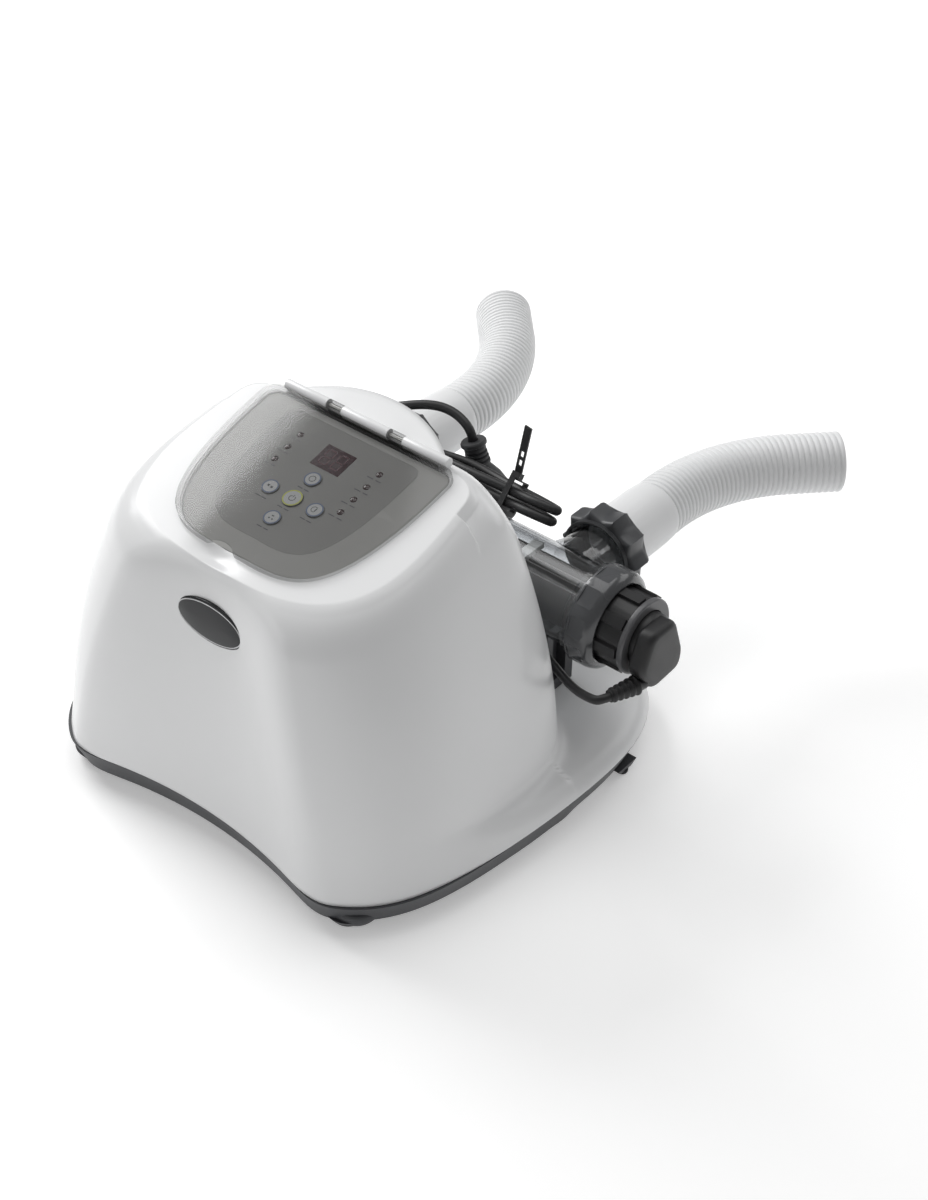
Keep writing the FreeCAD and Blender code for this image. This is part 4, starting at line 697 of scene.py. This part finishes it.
def arc_bars(x, up, r, width, start, stop, count):
    """An arc as short bars."""
    out = []
    step = (stop - start) / count
    for i in range(count):
        a = start + step * (i + 0.5)
        out.append((x + r * math.cos(a), up + r * math.sin(a), abs(step) * r * 1.15, width, a + math.pi / 2))
    return out


def icon(kind, x, up):
    """Small generic mark on a button."""
    if kind == "power":
        return arc_bars(x, up - 0.2, 2.2, 0.5, math.radians(125), math.radians(415), 14) + [(x, up + 1.6, 2.4, 0.5, math.pi / 2)]
    if kind == "lock":
        return arc_bars(x, up, 2.3, 0.5, 0, 2 * math.pi, 16)
    if kind == "timer":
        return [(x - 1.4, up + 0.2, 1.9, 1.6, 0.0), (x + 1.5, up - 0.2, 1.9, 1.6, 0.0)]
    if kind == "boost":
        return arc_bars(x - 0.3, up, 2.2, 0.45, math.radians(60), math.radians(300), 12) + [(x + 0.8, up, 3.2, 0.8, math.pi / 2)]
    return [(x, up + 1.2, 1.9, 0.9, 0.0), (x - 1.3, up - 1.4, 1.2, 1.0, 0.4), (x + 1.4, up - 1.4, 1.2, 1.0, -0.4)]


def button_faces():
    places = {"power": (0, 0), "lock": (0, BUTTON_ARM), "timer": (-BUTTON_ARM, 0), "boost": (BUTTON_ARM, 0),
              "clean": (0, -BUTTON_ARM)}
    for kind, (x, up) in places.items():
        low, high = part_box("button_" + kind)
        top = button_top("button_" + kind, x, up)
        body = kind + "_key"
        r = (high[0] - low[0]) / MM / 2 - 0.25
        ring = RING_GREEN if kind == "power" else RING_SLATE
        flat_ring("ring_" + kind, (x, up), r, r - 0.95, top + 0.10, body, ring)
        flat_ring("field_" + kind, (x, up), r - 1.0, 0.02, top + 0.07, body, RING_FILL)
        bars("mark_" + kind, icon(kind, x, up), top + 0.14, body, PRINT_DARK)


def button_top(name, x, up):
    """Height above the panel face of a button's highest point."""
    heights = [-(v.co.y / MM - PANEL_Y) * SIN + (v.co.z / MM - PANEL_Z) * COS
               for v in frame["nodes"][name].data.vertices]
    return max(heights)


def panel_print():
    """Small grey label bars beside the lenses and under the buttons, and dim display segments."""
    labels = []
    for i in range(3):
        up = 47.0 - 13.0 * i
        labels += [(-35.3 - 3.0, up - 5.2, 4.6, 0.7, 0.0), (-35.3 + 3.0, up - 5.2, 3.4, 0.7, 0.0)]
    for i in range(4):
        up = 47.0 - 13.0 * i
        labels += [(35.3 - 3.6, up - 5.2, 5.2, 0.7, 0.0), (35.3 + 3.2, up - 5.2, 4.4, 0.7, 0.0)]
    for x, up in ((0, 0), (0, 20), (-20, 0), (20, 0), (0, -20)):
        labels += [(x - 2.7, up - 9.6, 4.4, 0.75, 0.0), (x + 2.9, up - 9.6, 4.0, 0.75, 0.0)]
    bars("panel_labels", labels, 0.08, "enclosure", PRINT_DARK)
    segments = []
    for x in (-5.2, 5.2):
        for up in (34.2, 40.7, 47.2):
            segments.append((x, up, 5.4, 1.1, 0.0))
        for sx in (-3.3, 3.3):
            for up in (37.4, 44.0):
                segments.append((x + sx, up, 5.2, 1.1, math.pi / 2))
    bars("display_segments", segments, 0.17, "enclosure", LED_SCREEN)


# ---------------------------------------------------------------- badge
def badge():
    """Blank domed oval badge with a thin bright line inside its edge."""
    low, high = [np.array(c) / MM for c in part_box("badge")]
    middle = (low + high) / 2
    half, reach = (high[0] - low[0]) / 2, (high[2] - low[2]) / 2
    lean = math.atan(0.109)
    out = np.array((0.0, -math.cos(lean), math.sin(lean)))
    up = np.array((0.0, math.sin(lean), math.cos(lean)))
    back = middle - out * ((high[1] - low[1]) / 2 - 1.2)
    a = np.linspace(0, 2 * math.pi, 96, endpoint=False)

    def ring(scale, rise):
        inset = (1 - scale) * reach
        x = (half - inset) * np.cos(a)
        v = (reach - inset) * np.sin(a)
        return back + np.stack([x, 0 * x, 0 * x], 1) + v[:, None] * up + rise * out
    rise = 2.6
    rows = [ring(0.98, -3.0), ring(1.0, 0.0), ring(1.0, rise - 1.0), ring(0.985, rise - 0.4), ring(0.95, rise)]
    rows += [ring(s, rise + 1.1 * (1 - s * s)) for s in (0.85, 0.72, 0.58, 0.42, 0.26, 0.12, 0.02)]
    piece = lofted("badge_dome", rows, "enclosure", LOOKS["badge"], ends=True)
    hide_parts("badge")
    line = [ring(s, rise + 1.1 * (1 - s * s) + h) for s, h in ((0.90, 0.0), (0.895, 0.10), (0.855, 0.12), (0.85, 0.02))]
    lofted("badge_line", line, "enclosure", SILVER_LINE)


# ---------------------------------------------------------------- studio
def look_at(thing, target):
    thing.rotation_mode = "QUATERNION"
    thing.rotation_quaternion = (Vector(target) - thing.location).to_track_quat("-Z", "Y")


def softbox(name, place, target, width, height, power, colour=(1.0, 1.0, 1.0)):
    light = bpy.data.lights.new(name, "AREA")
    light.shape = "RECTANGLE"
    light.size, light.size_y = width, height
    light.energy = power
    light.color = colour
    made = bpy.data.objects.new(name, light)
    scene.collection.objects.link(made)
    made.location = place
    look_at(made, target)


def studio():
    target = (0.0, 0.05, 0.12)
    softbox("key_left", (-1.7, 0.2, 1.5), target, 1.1, 1.1, 30.0)
    softbox("top_soft", (-0.2, 0.6, 2.2), target, 1.8, 1.8, 17.0)
    softbox("fill_front", (-1.0, -2.0, 0.8), target, 1.2, 1.2, 4.5)
    softbox("rim_back", (0.8, 2.2, 1.3), target, 1.8, 1.0, 8.0)
    world = bpy.data.worlds.new("studio_world")
    scene.world = world
    world.use_nodes = True
    background = world.node_tree.nodes["Background"]
    background.inputs["Color"].default_value = (1.0, 1.0, 1.0, 1.0)
    background.inputs["Strength"].default_value = 0.24
    reach = 6.0
    mesh = bpy.data.meshes.new("floor")
    mesh.from_pydata([(-reach, -reach, 0), (reach, -reach, 0), (reach, reach, 0), (-reach, reach, 0)], [], [(0, 1, 2, 3)])
    floor = bpy.data.objects.new("floor", mesh)
    floor.location = (0, 0, -0.0005)
    scene.collection.objects.link(floor)
    look = plastic("floor_white", (0.93, 0.93, 0.93), 0.7, vary=0.005, grain=0.02)
    shader = look.node_tree.nodes["Principled BSDF"]
    shader.inputs["Emission Color"].default_value = (1.0, 1.0, 1.0, 1.0)
    shader.inputs["Emission Strength"].default_value = 0.30
    floor.data.materials.append(look)


def camera():
    """Camera at the picture's viewing angle: azimuth, elevation and a slight roll, in degrees."""
    azimuth, elevation, roll = (math.radians(v) for v in (39.07, 38.6, 1.27))
    distance, target = 1.602, Vector((0.0001, 0.1181, 0.0449))
    back = Vector((math.sin(azimuth) * math.cos(elevation), -math.cos(azimuth) * math.cos(elevation),
                   math.sin(elevation)))
    made = bpy.data.objects.new("camera", bpy.data.cameras.new("camera"))
    made.data.lens, made.data.sensor_width = 63.14, 36.0
    made.data.clip_start, made.data.clip_end = 0.05, 30.0
    made.location = target + back * distance
    made.rotation_mode = "QUATERNION"
    turn = (-back).to_track_quat("-Z", "Y")
    made.rotation_quaternion = turn @ Quaternion((0.0, 0.0, 1.0), roll)
    scene.collection.objects.link(made)
    scene.camera = made


dress_frame()
housing()
foot_bulge(-1)
foot_bulge(1)
hose(-1)
hose(1)
union_nut(-1)
union_nut(1)
cell_plug()
cell_lead()
button_faces()
panel_print()
badge()
studio()
camera()
scene.view_settings.view_transform = "Standard"
bpy.context.view_layer.update()
